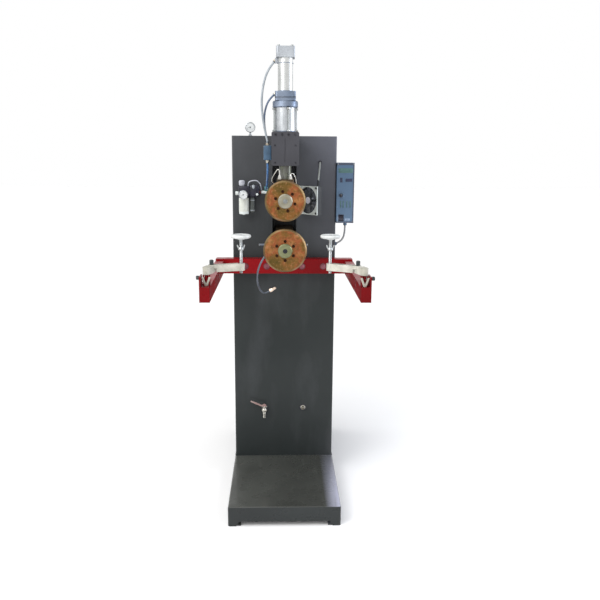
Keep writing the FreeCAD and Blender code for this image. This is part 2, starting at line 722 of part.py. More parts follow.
def cross_beam():
    """The rectangular tube bolted across the cabinet's face."""
    half = S.beam_length / 2
    wall = S.beam_wall
    low = S.beam_floor
    high = low + S.beam_height
    outer = block("beam_outer", (-half, BEAM_FRONT, low), (half, FRONT, high))
    inner = block("beam_inner", (-half - 1, BEAM_FRONT + wall, low + wall),
                  (half + 1, FRONT - wall, high - wall))
    node("cross_beam", cut("cross_beam", outer, inner))


def side_arm(name, side, pivot_reach):
    """One forward arm with its riser, pivot pin and the two cast cheeks beside the pin."""
    wall = S.side_arm_wall
    front = FRONT - S.side_arm_reach
    inner_x = SIDE_OUTER - S.side_arm_width
    pivot_y = FRONT - pivot_reach
    top = S.link_floor - 2

    def piece(label, x0, x1, y0, y1, z0, z1):
        low_x = x0 if side > 0 else -x1
        high_x = x1 if side > 0 else -x0
        return block(name + label, (low_x, y0, z0), (high_x, y1, z1))

    outer = piece("_outer", inner_x, SIDE_OUTER, front, BEAM_FRONT, S.side_arm_floor, SIDE_TOP)
    inner = piece("_inner", inner_x + wall, SIDE_OUTER - wall, front + wall, BEAM_FRONT + 1,
                  S.side_arm_floor + wall, SIDE_TOP - wall)
    tube = cut(name + "_tube", outer, inner)
    riser = piece("_riser", SIDE_OUTER - S.riser_thickness, SIDE_OUTER, front, front + S.riser_length,
                  SIDE_TOP, SIDE_TOP + S.riser_height)
    pivot = side * S.pivot_offset
    pin = rod(name + "_pin", (pivot, pivot_y, SIDE_TOP), "Z", S.link_floor + 16 - SIDE_TOP, S.pivot_radius)
    cheeks = []
    for label, offset in (("_inner_cheek", -12.5), ("_outer_cheek", 8)):
        x0 = S.pivot_offset + offset
        cheeks.append(piece(label, x0, x0 + 4.5, pivot_y - 12, pivot_y + 12, SIDE_TOP, top))
    arm = fuse(name + "_welded", [tube, riser, pin] + cheeks)
    hole_start = S.pivot_offset + S.pivot_radius + 0.4
    hole_length = SIDE_OUTER - hole_start + 1
    hole_x = hole_start if side > 0 else -hole_start - hole_length
    hole = rod(name + "_lock_hole", (hole_x, pivot_y, S.lock_height), "X", hole_length,
               3 + S.running_gap)
    return cut(name, arm, hole)


def side_arms():
    """The two forward arms welded to the beam's ends."""
    left = side_arm("left_side_arm", -1, S.left_pivot_reach)
    right = side_arm("right_side_arm", 1, S.right_pivot_reach)
    node("side_arms", group("side_arms", [left, right]))


def lever(name, at, angle, length, low, high, lap_low, lap_high, lap_at_start, hole_start, hole_end):
    """A cast lever with round ends; one end is cut to part of its thickness for a lap joint."""
    radius = S.link_half_width
    body = new_body(name + "_body")
    sketch = new_sketch(body, name + "_outline", "XY_Plane")
    draw_outline(sketch, [(0, -radius), (length, -radius), (length, radius), (0, radius)])
    pad(body, sketch, high - low)
    turn = FreeCAD.Rotation(FreeCAD.Vector(0, 0, 1), angle)
    place(body, (at[0], at[1], low), turn)
    start = rod(name + "_start_eye", (at[0], at[1], low), "Z", high - low, radius)
    direction = cosine(angle), sine(angle)
    end_at = (at[0] + length * direction[0], at[1] + length * direction[1])
    end = rod(name + "_end_eye", (end_at[0], end_at[1], low), "Z", high - low, radius)
    solid = fuse(name + "_solid", [body, start, end])
    lap_at = at if lap_at_start else end_at
    lap = rod(name + "_lap", (lap_at[0], lap_at[1], lap_low), "Z", lap_high - lap_low, S.lap_radius)
    first = rod(name + "_start_hole", (at[0], at[1], low - 1), "Z", hole_start[1], hole_start[0])
    last = rod(name + "_end_hole", (end_at[0], end_at[1], low - 1), "Z", hole_end[1], hole_end[0])
    node(name, cut(name, solid, fuse(name + "_cuts", [lap, first, last])))
    return end_at


def support_side(name, side, pivot_reach, lower_angle, upper_angle):
    """Levers, knobs, wing nut and post on one side of the work support."""
    angles = [SIZES[lower_angle], SIZES[upper_angle]]
    if side > 0:
        angles = [180 - angle for angle in angles]
    pivot = (side * S.pivot_offset, FRONT - pivot_reach)
    low = S.link_floor
    high = low + S.link_thickness
    middle = low + S.link_thickness / 2
    screw = S.elbow_screw_radius + S.running_gap
    elbow = lever(name + "_lower_link", pivot, angles[0], S.lower_link_length, low, high,
                  middle - S.lap_gap / 2, high + 1, False,
                  (S.pivot_radius + S.running_gap, Size(17.5, "17.5")), (screw, S.link_thickness + 2))
    post = lever(name + "_upper_link", elbow, angles[1], S.upper_link_length, low, high,
                 low - 1, middle + S.lap_gap / 2, True,
                 (screw, S.link_thickness + 2), (S.post_radius + S.running_gap, S.link_thickness + 2))
    elbow_knob(name, elbow, low, high)
    lock_knob(name, side, pivot[1])
    support_post(name, post)
    wing_nut(name, post)


def elbow_knob(name, at, low, high):
    """The black knob whose screw clamps the elbow."""
    radius = S.elbow_knob_radius
    screw = S.elbow_screw_radius
    foot = low + 2
    neck = high + 0.3 - foot
    top = neck + S.knob_height
    label = name + "_elbow_knob"
    node(label, turned(label, (at[0], at[1], foot), "Z", [
        (0, 0), (screw, 0), (screw, neck), (radius, neck), (radius, top - 3), (radius - 3, top), (0, top)]))


def lock_knob(name, side, y):
    """The black knob outside the riser whose screw clamps the pivot pin."""
    start = S.pivot_offset + S.pivot_radius + 0.5
    shank = SIDE_OUTER + 0.4 - start
    length = shank + 15
    radius = S.lock_knob_radius
    label = name + "_lock_knob"
    along = "X" if side > 0 else "-X"
    node(label, turned(label, (side * start, y, S.lock_height), along, [
        (0, 0), (3, 0), (3, shank), (radius, shank), (radius, length - 2), (radius - 2, length),
        (0, length)]))


def support_post(name, at):
    """The threaded post with the round support disc on top."""
    label = name + "_post"
    top = S.disc_floor + S.disc_thickness - S.post_foot
    under = S.disc_floor - S.post_foot
    narrow = S.post_radius
    wide = S.disc_radius
    node(label, turned(label, (at[0], at[1], S.post_foot), "Z", [
        (0, 0), (narrow - 1, 0), (narrow, 1), (narrow, under), (wide - 5, under), (wide, under + 5),
        (wide, top - 5), (wide - 5, top), (0, top)]))


def wing_nut(name, at):
    """The wing nut on the post: a hub with two raised wings."""
    label = name + "_wing_nut"
    bore = S.post_radius + S.running_gap
    hub = turned(label + "_hub", (at[0], at[1], S.wing_floor), "Z", [
        (bore, 0), (bore + 4, 0), (bore + 3, 10), (bore, 10)])
    wings = []
    for i, side in enumerate((-1, 1)):
        outline = [(side * (bore + 1), 1), (side * (bore + 7), 9), (side * (bore + 9), S.wing_height),
                   (side * (bore + 4), S.wing_height), (side * (bore + 1), 9)]
        wings.append(plate("%s_wing_%d" % (label, i), "XZ_Plane", (at[0], at[1] - 2, S.wing_floor),
                           outline, 4, backwards=True))
    node(label, fuse(label, [hub] + wings))


# ---------------------------------------------------------------- air, cooling and controls

def air_set():
    """Filter regulator and oiler on the cabinet's face, with bowls, dial and knob."""
    left = S.air_set_left
    split = left + S.filter_width
    right = split + S.oiler_width
    low = S.air_set_floor
    high = low + S.air_set_height
    back = FRONT - S.air_set_stand
    front = back - S.air_set_depth
    filter_block = rounded_block("filter_block", (left, front, low), (split + 2, back, high - 8), 6)
    oiler_block = rounded_block("oiler_block", (split + 1, front + 4, low), (right, back, high - 3), 8)
    stand = block("air_stand", (left + 8, back - 1, low + 14), (right - 8, FRONT, low + 30))
    inlet = rod("air_inlet", (left - 14, back - 20, low + 14), "X", 16, 9)
    outlet = rod("air_outlet", (right - 2, back - 20, low + 19), "X", 47, 6.5)
    elbow = block("air_elbow", (right + 21, back - 28, low + 14), (right + 37, back - 12, low + 43))
    push_in = rod("air_push_in", (right + 29, back - 40, low + 34), "Y", 14, 6.5)
    bore = rod("inlet_bore", (left - 15, back - 20, low + 14), "X", 12, 5.7)
    solid = fuse("air_solid", [filter_block, oiler_block, stand, inlet, outlet, elbow, push_in])
    node("air_regulator", cut("air_regulator", solid, bore))
    bowl_y = (front + back) / 2
    bowl = turned("filter_bowl", (left + S.filter_width / 2, bowl_y, low), "Z", [
        (0, 0), (S.bowl_radius, 0), (S.bowl_radius, -S.bowl_length + 6),
        (S.bowl_radius - 6, -S.bowl_length), (0, -S.bowl_length)])
    small = turned("oiler_bowl", (split + 14, bowl_y, low), "Z", [
        (0, 0), (S.oiler_bowl_radius, 0), (S.oiler_bowl_radius, -S.oiler_bowl_length + 5),
        (S.oiler_bowl_radius - 4, -S.oiler_bowl_length), (0, -S.oiler_bowl_length)])
    node("air_bowls", group("air_bowls", [bowl, small]))
    dial_x = left + 22
    dial = turned("air_gauge", (dial_x, front, low + 10), "-Y", [
        (0, 0), (6, 0), (6, 8), (S.dial_radius - 2, 8), (S.dial_radius, 10), (S.dial_radius, 22),
        (S.dial_radius - 2, 24), (0, 24)])
    node("air_gauge", dial)
    knob_x = left + 14
    node("regulator_knob", turned("regulator_knob", (knob_x, bowl_y, high - 7.7), "Z", [
        (0, 0), (10, 0), (13, 3), (13, 20), (9, 24), (0, 24)]))


def solenoid_valve():
    """The air valve on the guide housing's left side, with three push-in fittings."""
    housing = -S.housing_width / 2
    body = rounded_block("valve_block", (housing - 30, HEAD_Y - 20, 1446), (housing, HEAD_Y + 20, 1500), 3)
    coil = block("valve_coil", (housing - 26, HEAD_Y + 18, 1452), (housing, HEAD_Y + 56, 1486))
    fittings = [rod("valve_top_%d" % i, (housing - 15, HEAD_Y + y, 1499), "Z", 15, 7)
                for i, y in enumerate((-10, 10))]
    under = rod("valve_under", (housing - 15, HEAD_Y, 1434), "Z", 13, 7)
    node("solenoid_valve", fuse("solenoid_valve", [body, coil, under] + fittings))


def fan():
    """A square axial fan turned towards the wheels, on a bent rod from the cabinet's face."""
    turn = FreeCAD.Rotation(FreeCAD.Vector(0, 0, 1), -SIZES["fan_turn"])
    half = S.fan_side / 2
    centre = (S.fan_centre_x, FRONT - S.fan_stand, S.fan_centre_z)
    corners = [(-half, -half), (half, -half), (half, half), (-half, half)]
    frame = plate("fan_square", "XZ_Plane", centre, corners, S.fan_depth, [((0, 0), S.fan_bore)],
                  backwards=True)
    place(frame, centre, turn)
    pieces = [frame]
    for i, across in enumerate((0, 90)):
        strut = plate("fan_strut_%d" % i, "XZ_Plane", centre,
                      [(-4, -58), (4, -58), (4, 58), (-4, 58)] if across else
                      [(-58, -4), (58, -4), (58, 4), (-58, 4)], 3, backwards=True)
        away = turn.multVec(FreeCAD.Vector(0, SIZES["fan_depth"] - 3, 0))
        place(strut, (centre[0] + away.x, centre[1] + away.y, centre[2]), turn)
        pieces.append(strut)
    across = turn.multVec(FreeCAD.Vector(1, 0, 0))
    through = turn.multVec(FreeCAD.Vector(0, 1, 0))
    corner = FreeCAD.Vector(*[size_of(value).value for value in centre])
    corner += across * (half.value - 6) + through * 8 + FreeCAD.Vector(0, 0, half.value - 4)
    anchor = FreeCAD.Vector(154, FRONT.value, 1436)
    stay = doc.addObject("Part::Cylinder", "fan_stay")
    bind(stay, "Radius", 3.5)
    reach = anchor - corner
    stay.Height = reach.Length
    stay.Placement = FreeCAD.Placement(corner, FreeCAD.Rotation(FreeCAD.Vector(0, 0, 1), reach))
    low = block("fan_foot", (68, FRONT - 14, centre[2] - 12), (84, FRONT, centre[2] + 12))
    wall = block("fan_trim", (40, FRONT, 1200), (200, FRONT + 60, 1500))
    node("fan_frame", cut("fan_frame", fuse("fan_fixed", pieces + [stay, low]), wall))
    fan_impeller(centre, turn)


def fan_impeller(centre, turn):
    """The hub and seven pitched blades."""
    hub = new_body("fan_hub_body")
    sketch = new_sketch(hub, "fan_hub_circle", "XZ_Plane")
    draw_circle(sketch, (0, 0), S.fan_hub)
    pad(hub, sketch, 17, backwards=True)
    start = turn.multVec(FreeCAD.Vector(0, 3, 0))
    origin = (centre[0] + start.x, centre[1] + start.y, centre[2])
    place(hub, origin, turn)
    pieces = [hub]
    reach = S.fan_bore - S.fan_tip_gap
    for i in range(7):
        blade = doc.addObject("Part::Box", "fan_blade_%d" % i)
        bind(blade, "Length", reach - S.fan_hub + 3)
        bind(blade, "Width", 2)
        bind(blade, "Height", 22)
        around = FreeCAD.Rotation(FreeCAD.Vector(0, 1, 0), 360 / 7 * i)
        pitch = FreeCAD.Rotation(FreeCAD.Vector(1, 0, 0), 58)
        local = turn.multiply(around)
        offset = local.multVec(FreeCAD.Vector(SIZES["fan_hub"] - 3, 8, 0)
                               + pitch.multVec(FreeCAD.Vector(0, -1, -11)))
        place(blade, (origin[0] + offset.x, origin[1] + offset.y, origin[2] + offset.z),
              local.multiply(pitch))
        pieces.append(blade)
    node("fan_impeller", fuse("fan_impeller", pieces))


def control_box():
    """The weld timer's box on the cabinet's right side, with its knob and switch."""
    front = FRONT - S.control_overhang
    back = front + S.control_depth
    wall = S.control_sheet
    low = S.control_floor
    high = low + S.control_height
    outer = rounded_block("control_outer", (HALF, front, low), (HALF + S.control_width, back, high), 3)
    inner = block("control_inner", (HALF - 1, front + wall, low + wall),
                  (HALF + S.control_width - wall, back - wall, high - wall))
    gland = rod("control_gland", (HALF + 46, FRONT + 50, low - 14), "Z", 15, 8)
    entry = rod("cabinet_gland", (HALF, FRONT + 50, 1080), "X", 8, 8)
    switch_hole = block("switch_hole", (HALF + 12, front - 1, low + 10), (HALF + 32, front + 3, low + 34))
    knob_hole = rod("knob_hole", (HALF + 20, front - 1, low + 119), "Y", 4, 3 + S.running_gap)
    holes = fuse("control_holes", [switch_hole, knob_hole])
    shell = cut("control_shell", outer, inner)
    welded = cut("control_drilled", fuse("control_solid", [shell, gland]), holes)
    node("control_box", group("control_box", [welded, entry]))
    node("control_knob", turned("control_knob", (HALF + 20, front + 6, low + 119), "-Y", [
        (0, 0), (3, 0), (3, 6.4), (8, 6.4), (7, 18), (6, 19), (0, 19)]))
    rocker = plate("rocker", "YZ_Plane", (HALF + 13, front, low + 22), [
        (-4.5, -10), (0, -1), (-4.5, 10), (8, 8), (8, -8)], 18)
    rocker_pin = rod("rocker_pin", (HALF + 12.5, front + 4.5, low + 22), "X", 19, 2)
    node("control_switch", fuse("control_switch", [rocker, rocker_pin]))


def roof_gauge():
    """The water pressure gauge that stands on the roof, with its stem."""
    x = S.roof_gauge_x
    y = FRONT + S.roof_gauge_inset
    centre = ROOF + S.roof_gauge_height
    stem = rod("gauge_stem", (x, y, ROOF), "Z", S.roof_gauge_height - S.roof_gauge_radius + 3, 5)
    nut = hexagon("gauge_nut", (x, y, ROOF), "Z", 9, 7)
    case = turned("gauge_case", (x, y + 11, centre), "-Y", [
        (0, 0), (S.roof_gauge_radius - 3, 0), (S.roof_gauge_radius, 3), (S.roof_gauge_radius, 20),
        (S.roof_gauge_radius - 2, 22), (0, 22)])
    node("roof_gauge", fuse("roof_gauge", [stem, nut, case]))


def water_fittings():
    """The cooling water ball valve and its lever, the drain nipple and the cross pipe."""
    x = S.water_x
    z = S.water_z
    pipe = rod("water_nipple", (x, FRONT - 36, z), "Y", 36, 6)
    nut = hexagon("water_nut", (x, FRONT - 8, z), "Y", 13, 8)
    ball = turned("water_ball", (x, FRONT - 30, z), "-Y", [
        (0, -14), (10, -14), (13, -8), (13, 8), (10, 14), (0, 14)])
    stem = rod("water_stem", (x, FRONT - 30, z), "Z", 19, 4)
    spout = rod("water_spout", (x, FRONT - 34, z - 36), "Z", 32, 6.5)
    bore = rod("spout_bore", (x, FRONT - 34, z - 37), "Z", 14, 4.5)
    drain = rod("drain_nipple", (S.drain_x, FRONT - 16, z), "Y", 16, 7)
    drain_nut = hexagon("drain_nut", (S.drain_x, FRONT - 6, z), "Y", 11, 6)
    drain_bore = rod("drain_bore", (S.drain_x, FRONT - 17, z), "Y", 12, 4)
    tap = cut("tap", fuse("tap_solid", [pipe, nut, ball, stem, spout]), bore)
    outlet = cut("drain", fuse("drain_solid", [drain, drain_nut]), drain_bore)
    node("water_valve", group("water_valve", [tap, outlet]))
    lever_at = (x, FRONT - 30, z + 19.2)
    flat = plate("lever_flat", "XY_Plane", lever_at, [
        (-16, -8), (6, -10), (10, 0), (6, 10), (-16, 8)], 3.5)
    handle = plate("lever_handle", "XY_Plane", lever_at, [(-54, -7), (0, -7), (0, 7), (-54, 7)], 3.5)
    place(handle, (x - 14, FRONT - 30, z + 19.2), FreeCAD.Rotation(FreeCAD.Vector(0, 1, 0), 24))
    lever_plate = fuse("lever_plate", [flat, handle])
    boss = rod("lever_boss", (x, FRONT - 30, z + 19.2), "Z", 8, 7)
    node("valve_lever", fuse("valve_lever", [lever_plate, boss]))
    left = rod("water_pipe_left", (-LOWER_HALF - 62, HEAD_Y - 14, S.lower_axis + 16), "X", 62, 4.5)
    right = rod("water_pipe_right", (LOWER_HALF, HEAD_Y - 14, S.lower_axis + 16), "X", 50, 4.5)
    elbow = rod("spray_fitting", (-LOWER_HALF - 14, HEAD_Y - 14, S.lower_axis - 14), "X", 14, 6.5)
    node("water_pipe", group("water_pipe", [left, right, elbow]))


# Routes of the pipe, hoses and cable, from one fitting to the next.
SPRAY_PIPE = [(-52, -400, 1099), (-74, -400, 1090), (-96, -401, 1055), (-108, -402, 1015),
              (-106, -402, 978), (-96, -401, 950), (-78, -400, 938), (-60, -400, 948)]
TOP_HOSE = [(-38, -386, 1801), (-57, -386, 1781), (-78, -386, 1735), (-88, -387, 1672),
            (-86, -388, 1617), (-78, -391, 1564), (-66, -396, 1514)]
SIDE_HOSE = [(-38, -376, 1686), (-60, -376, 1668), (-75, -376, 1632), (-79, -376, 1593),
             (-75, -376, 1552), (-66, -376, 1514)]
AIR_HOSE = [(-66, -386, 1434), (-66, -380, 1405), (-68, -349, 1377), (-71, -290, 1352),
            (-74, -222, 1336), (-77, -152, 1328), (-78, -82, 1326)]
CONTROL_CABLE = [(271, 30, 1164), (271, 30, 1138), (266, 30, 1110), (253, 30, 1090),
                 (233, 30, 1081)]


def pipes_and_hoses():
    """The rigid spray pipe with its nozzle, the three air hoses and the control cable."""
    node("spray_pipe", tube_along("spray_pipe", SPRAY_PIPE, SIZES["spray_pipe_radius"]))
    before, end = [FreeCAD.Vector(*point) for point in SPRAY_PIPE[-2:]]
    ALONG["nozzle"] = FreeCAD.Rotation(FreeCAD.Vector(0, 0, 1), end - before)
    nozzle = turned("spray_nozzle", tuple(end), "nozzle", [
        (0, 0), (5.5, 0), (7, 3), (7, 13), (5, 17), (5, 27), (3, 29), (0, 29)])
    node("spray_nozzle", nozzle)
    node("top_hose", tube_along("top_hose", TOP_HOSE, SIZES["hose_radius"]))
    node("side_hose", tube_along("side_hose", SIDE_HOSE, SIZES["thin_hose_radius"]))
    node("air_hose", tube_along("air_hose", AIR_HOSE, SIZES["hose_radius"]))
    node("control_cable", tube_along("control_cable", CONTROL_CABLE, SIZES["cable_radius"]))


def tie_rods_and_bolts():
    """Every fixed fastener: cylinder tie rods and nuts, housing, cap and beam bolts."""
    items = []
    low = S.housing_top
    ring = low + S.tube_length
    for i in range(4):
        angle = 15 + 90 * i
        x = S.tie_rod_circle * cosine(angle)
        y = HEAD_Y + S.tie_rod_circle * sine(angle)
        bar = rod("tie_rod_%d" % i, (x, y, low), "Z", S.tube_length, S.tie_rod_radius)
        nut = hexagon("tie_nut_%d" % i, (x, y, ring - S.tie_nut_height), "Z", S.tie_nut_radius,
                      S.tie_nut_height)
        wide = rod("tie_nut_room_%d" % i, (0, HEAD_Y, ring - S.tie_nut_height - 1), "Z",
                   S.tie_nut_height + 2, S.tube_radius)
        items.append(cut("tie_rod_nutted_%d" % i, fuse("tie_rod_solid_%d" % i, [bar, nut]), wide))
    cap = ring + S.flange_thickness + S.block_height + S.slim_tube_length + S.cap_height
    corner = S.cap_side / 2 - 10
    for i, (dx, dy) in enumerate(((-1, -1), (1, -1), (1, 1), (-1, 1))):
        items.append(hexagon("cap_nut_%d" % i, (dx * corner, HEAD_Y + dy * corner, cap), "Z", 6, 5))
    for i in range(4):
        x = -36 + 24 * i
        items.append(hexagon("housing_bolt_%d" % i, (x, HEAD_Y - S.housing_depth / 2, S.housing_top - 11),
                             "-Y", 4.5, 4))
    for i, x in enumerate((-170, -77, 77, 170)):
        items.append(hexagon("beam_bolt_%d" % i, (x, BEAM_FRONT, S.beam_floor + 32), "-Y", 9, 8))
    node("tie_rods_and_bolts", group("tie_rods_and_bolts", items))


# ---------------------------------------------------------------- build, check, write

def build():
    """Make every sub-part."""
    base_platform()
    cabinet_shell()
    rear_cover()
    upper_arm()
    guide_housing()
    cylinder()
    piston_rod()
    ram_and_head()
    lower_arm()
    wheels()
    current_shunt()
    drive()
    transformer()
    bus_bars()
    cross_beam()
    side_arms()
    support_side("left", -1, S.left_pivot_reach, "left_lower_angle", "left_upper_angle")
    support_side("right", 1, S.right_pivot_reach, "right_lower_angle", "right_upper_angle")
    air_set()
    solenoid_valve()
    fan()
    control_box()
    roof_gauge()
    water_fittings()
    pipes_and_hoses()
    tie_rods_and_bolts()


def check():
    """Stop if anything failed to build."""
    doc.recompute()
    for item in doc.Objects:
        if "Invalid" in item.State or "Error" in item.State:
            raise RuntimeError("failed object: %s" % item.Name)
    for label, item in SUB_PARTS.items():
        if item.Shape.isNull() or not item.Shape.isValid() or not item.Shape.Solids:
            raise RuntimeError("bad shape: %s" % label)


def write():
    """Write each sub-part to its own STEP file."""
    os.makedirs("parts", exist_ok=True)
    for label, item in SUB_PARTS.items():
        item.Shape.exportStep("parts/%s.step" % label)
    print("%d sub-parts written" % len(SUB_PARTS))


build()
check()
write()
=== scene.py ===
"""Looks of the roll welder: camera, studio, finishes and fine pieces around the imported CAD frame.

Everything stands in the frame of the CAD model: +X to the operator's right, +Y away from the
operator, +Z up, origin on the floor between the four anchor holes. Camera, lights, finishes and swept
tubes are in metres. Every other form is drawn in millimetres, and Shape turns them into metres.
"""

import math

import bmesh
import bpy
from mathutils import Matrix, Vector


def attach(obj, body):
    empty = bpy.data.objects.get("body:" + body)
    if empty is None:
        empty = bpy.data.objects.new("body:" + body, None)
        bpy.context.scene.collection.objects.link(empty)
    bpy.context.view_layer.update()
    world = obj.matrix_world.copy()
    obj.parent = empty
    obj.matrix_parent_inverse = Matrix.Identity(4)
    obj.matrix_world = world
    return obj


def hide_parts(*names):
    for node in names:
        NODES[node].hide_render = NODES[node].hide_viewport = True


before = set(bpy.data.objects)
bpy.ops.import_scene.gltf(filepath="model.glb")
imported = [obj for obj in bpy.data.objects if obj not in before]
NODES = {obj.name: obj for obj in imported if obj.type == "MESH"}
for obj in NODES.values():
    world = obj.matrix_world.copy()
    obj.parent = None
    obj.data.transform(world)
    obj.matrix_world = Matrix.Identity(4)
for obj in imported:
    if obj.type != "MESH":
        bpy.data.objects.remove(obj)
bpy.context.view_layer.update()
scene = bpy.context.scene

MM = 0.001
FILTER, OILER = (-173, -65), (-137, -65)       # vertical axes of the two bowls of the air set
HEAD_Y = -386                        # axis of the ram and the cylinder
UPPER_Z, LOWER_Z = 1298, 1113        # heights of the wheels' axes
WHEEL_FRONT, WHEEL_BACK = -459, -445
UP, DOWN = Vector((0, 0, 1)), Vector((0, 0, -1))
RIGHT, LEFT = Vector((1, 0, 0)), Vector((-1, 0, 0))
AWAY, TOWARDS = Vector((0, 1, 0)), Vector((0, -1, 0))
FAN_TURN = Matrix.Rotation(-math.radians(50), 4, "Z")
FAN_CENTRE = Vector((97, -90, 1279))
FAN_FRONT = FAN_TURN @ TOWARDS
STAND = Matrix.Rotation(math.radians(90), 4, "X")      # turns a flat outline to face the operator


# ---------------------------------------------------------------- camera, light and floor

def make_camera():
    """The operator's view: a little above the wheels, looking slightly down."""
    yaw, pitch, roll = 0.0317, 0.2097, 0.0073
    forward = Vector((math.sin(yaw) * math.cos(pitch), math.cos(yaw) * math.cos(pitch), -math.sin(pitch)))
    data = bpy.data.cameras.new("camera")
    data.sensor_width = 36
    data.lens = 40.26
    camera = bpy.data.objects.new("camera", data)
    camera.location = (-0.0222, -2.963, 1.458)
    camera.rotation_mode = "QUATERNION"
    camera.rotation_quaternion = (forward.to_track_quat("-Z", "Y").to_matrix()
                                  @ Matrix.Rotation(roll, 3, "Z")).to_quaternion()
    scene.collection.objects.link(camera)
    scene.camera = camera


def area_light(name, at, target, size, power, colour=(1, 1, 1)):
    data = bpy.data.lights.new(name, "AREA")
    data.shape = "RECTANGLE"
    data.size, data.size_y = size
    data.energy = power
    data.color = colour
    light = bpy.data.objects.new(name, data)
    light.location = at
    light.rotation_mode = "QUATERNION"
    light.rotation_quaternion = (Vector(target) - Vector(at)).to_track_quat("-Z", "Y")
    scene.collection.objects.link(light)


def make_studio():
    """A pale floor, a pale surround and soft light from above, in front and the right."""
    scene.view_settings.view_transform = "Standard"
    world = bpy.data.worlds.new("surround")
    world.use_nodes = True
    nodes, links = world.node_tree.nodes, world.node_tree.links
    where = nodes.new("ShaderNodeTexCoord")
    split = nodes.new("ShaderNodeSeparateXYZ")
    ceiling = nodes.new("ShaderNodeMapRange")
    for socket, value in (("From Min", 0.36), ("From Max", 0.80), ("To Min", 1.0), ("To Max", 0.35)):
        ceiling.inputs[socket].default_value = value
    links.new(where.outputs["Generated"], split.inputs[0])
    links.new(split.outputs["Z"], ceiling.inputs["Value"])
    links.new(ceiling.outputs["Result"], nodes["Background"].inputs["Color"])
    scene.world = world
    sun = bpy.data.lights.new("sun", "SUN")
    sun.energy, sun.angle = 2.0, 1.4
    lamp = bpy.data.objects.new("sun", sun)
    lamp.rotation_mode = "QUATERNION"
    lamp.rotation_quaternion = Vector((0.55, 0.55, -1.0)).to_track_quat("-Z", "Y")
    scene.collection.objects.link(lamp)
    area_light("key", (-1.5, -2.0, 2.6), (0, -0.2, 1.2), (1.0, 1.0), 22)
    area_light("window", (2.2, -0.4, 1.9), (0.1, -0.3, 0.5), (0.6, 2.0), 26, (0.80, 0.86, 1.0))
    mesh = bpy.data.meshes.new("floor")
    reach = 30
    mesh.from_pydata([(-reach, -reach, 0), (reach, -reach, 0), (reach, reach, 0), (-reach, reach, 0)],
                     [], [(0, 1, 2, 3)])
    floor = bpy.data.objects.new("floor", mesh)
    scene.collection.objects.link(floor)
    paint = Finish("floor_paint", (0.96, 0.96, 0.96), 0.9)
    paint.colour(paint.blend(paint.noise(1.5), (0.95, 0.95, 0.95), (0.97, 0.97, 0.97)))
    paint.set("Specular IOR Level", 0.1)
    mesh.materials.append(paint.material)


# ---------------------------------------------------------------- finishes

class Finish:
    """A procedural material and short calls for the nodes that the finishes share."""

    def __init__(self, name, colour, roughness, metallic=0.0, coat=0.0):
        self.material = bpy.data.materials.new(name)
        self.material.use_nodes = True
        self.tree = self.material.node_tree
        self.shader = self.tree.nodes["Principled BSDF"]
        self.material.diffuse_color = (*colour, 1)
        self.set("Base Color", colour)
        self.set("Roughness", roughness)
        self.set("Metallic", metallic)
        self.set("Coat Weight", coat)
        self.set("Coat Roughness", 0.12)
        self.place = self.add("ShaderNodeTexCoord").outputs["Object"]
        self.normal = None

    def feed(self, socket, value):
        """Links a socket to another one, or sets its value."""
        if isinstance(value, bpy.types.NodeSocket):
            self.tree.links.new(value, socket)
        elif socket.type == "RGBA":
            socket.default_value = (*value, 1)
        else:
            socket.default_value = value

    def add(self, kind, inputs=(), **settings):
        """A node with these settings and inputs."""
        made = self.tree.nodes.new(kind)
        for name, value in settings.items():
            setattr(made, name, value)
        for name, value in dict(inputs).items():
            self.feed(made.inputs[name], value)
        return made

    def set(self, socket, value):
        self.feed(self.shader.inputs[socket], value)

    def mapped(self, stretch=(1, 1, 1), shift=(0, 0, 0)):
        inputs = {"Location": shift, "Scale": stretch, "Vector": self.place}
        return self.add("ShaderNodeMapping", inputs).outputs["Vector"]

    def noise(self, scale, detail=4.0, stretch=(1, 1, 1), at=None):
        inputs = {"Scale": scale, "Detail": detail, "Vector": at or self.mapped(stretch)}
        return self.add("ShaderNodeTexNoise", inputs).outputs["Fac"]

    def ramp(self, factor, stops):
        """Colours along a factor, from stops of (place, colour)."""
        made = self.add("ShaderNodeValToRGB", {"Fac": factor})
        elements = made.color_ramp.elements
        while len(elements) < len(stops):
            elements.new(0.5)
        for element, (place, colour) in zip(elements, stops):
            element.position = place
            element.color = (*colour, 1)
        return made.outputs["Color"]

    def levels(self, factor, low, high, start=0.35, end=0.65):
        """factor from start to end, stretched to low to high."""
        inputs = {"From Min": start, "From Max": end, "To Min": low, "To Max": high, "Value": factor}
        return self.add("ShaderNodeMapRange", inputs).outputs["Result"]

    def mix(self, factor, first, second):
        inputs = {0: factor, 6: first, 7: second}
        return self.add("ShaderNodeMix", inputs, data_type="RGBA").outputs[2]

    def over(self, paint, colour, noise, share, start, end):
        """The paint with up to a share of a colour laid over it where the noise is high."""
        return self.mix(self.levels(self.noise(*noise), 0, share, start, end), paint, colour)

    def axes(self):
        """The object's own coordinates, one by one."""
        return self.add("ShaderNodeSeparateXYZ", {0: self.place}).outputs

    def blend(self, factor, first, second, start=0.35, end=0.65):
        return self.mix(self.levels(factor, 0, 1, start, end), first, second)

    def colour(self, source):
        self.set("Base Color", source)

    def rough(self, factor, low, high):
        self.set("Roughness", self.levels(factor, low, high))

    def bump(self, height, distance):
        """Relief, on top of any that is there already."""
        inputs = {"Distance": distance, "Height": height}
        if self.normal:
            inputs["Normal"] = self.normal
        self.normal = self.add("ShaderNodeBump", inputs).outputs["Normal"]
        self.set("Normal", self.normal)


def scaled(colour, factor):
    return tuple(factor * c for c in colour)


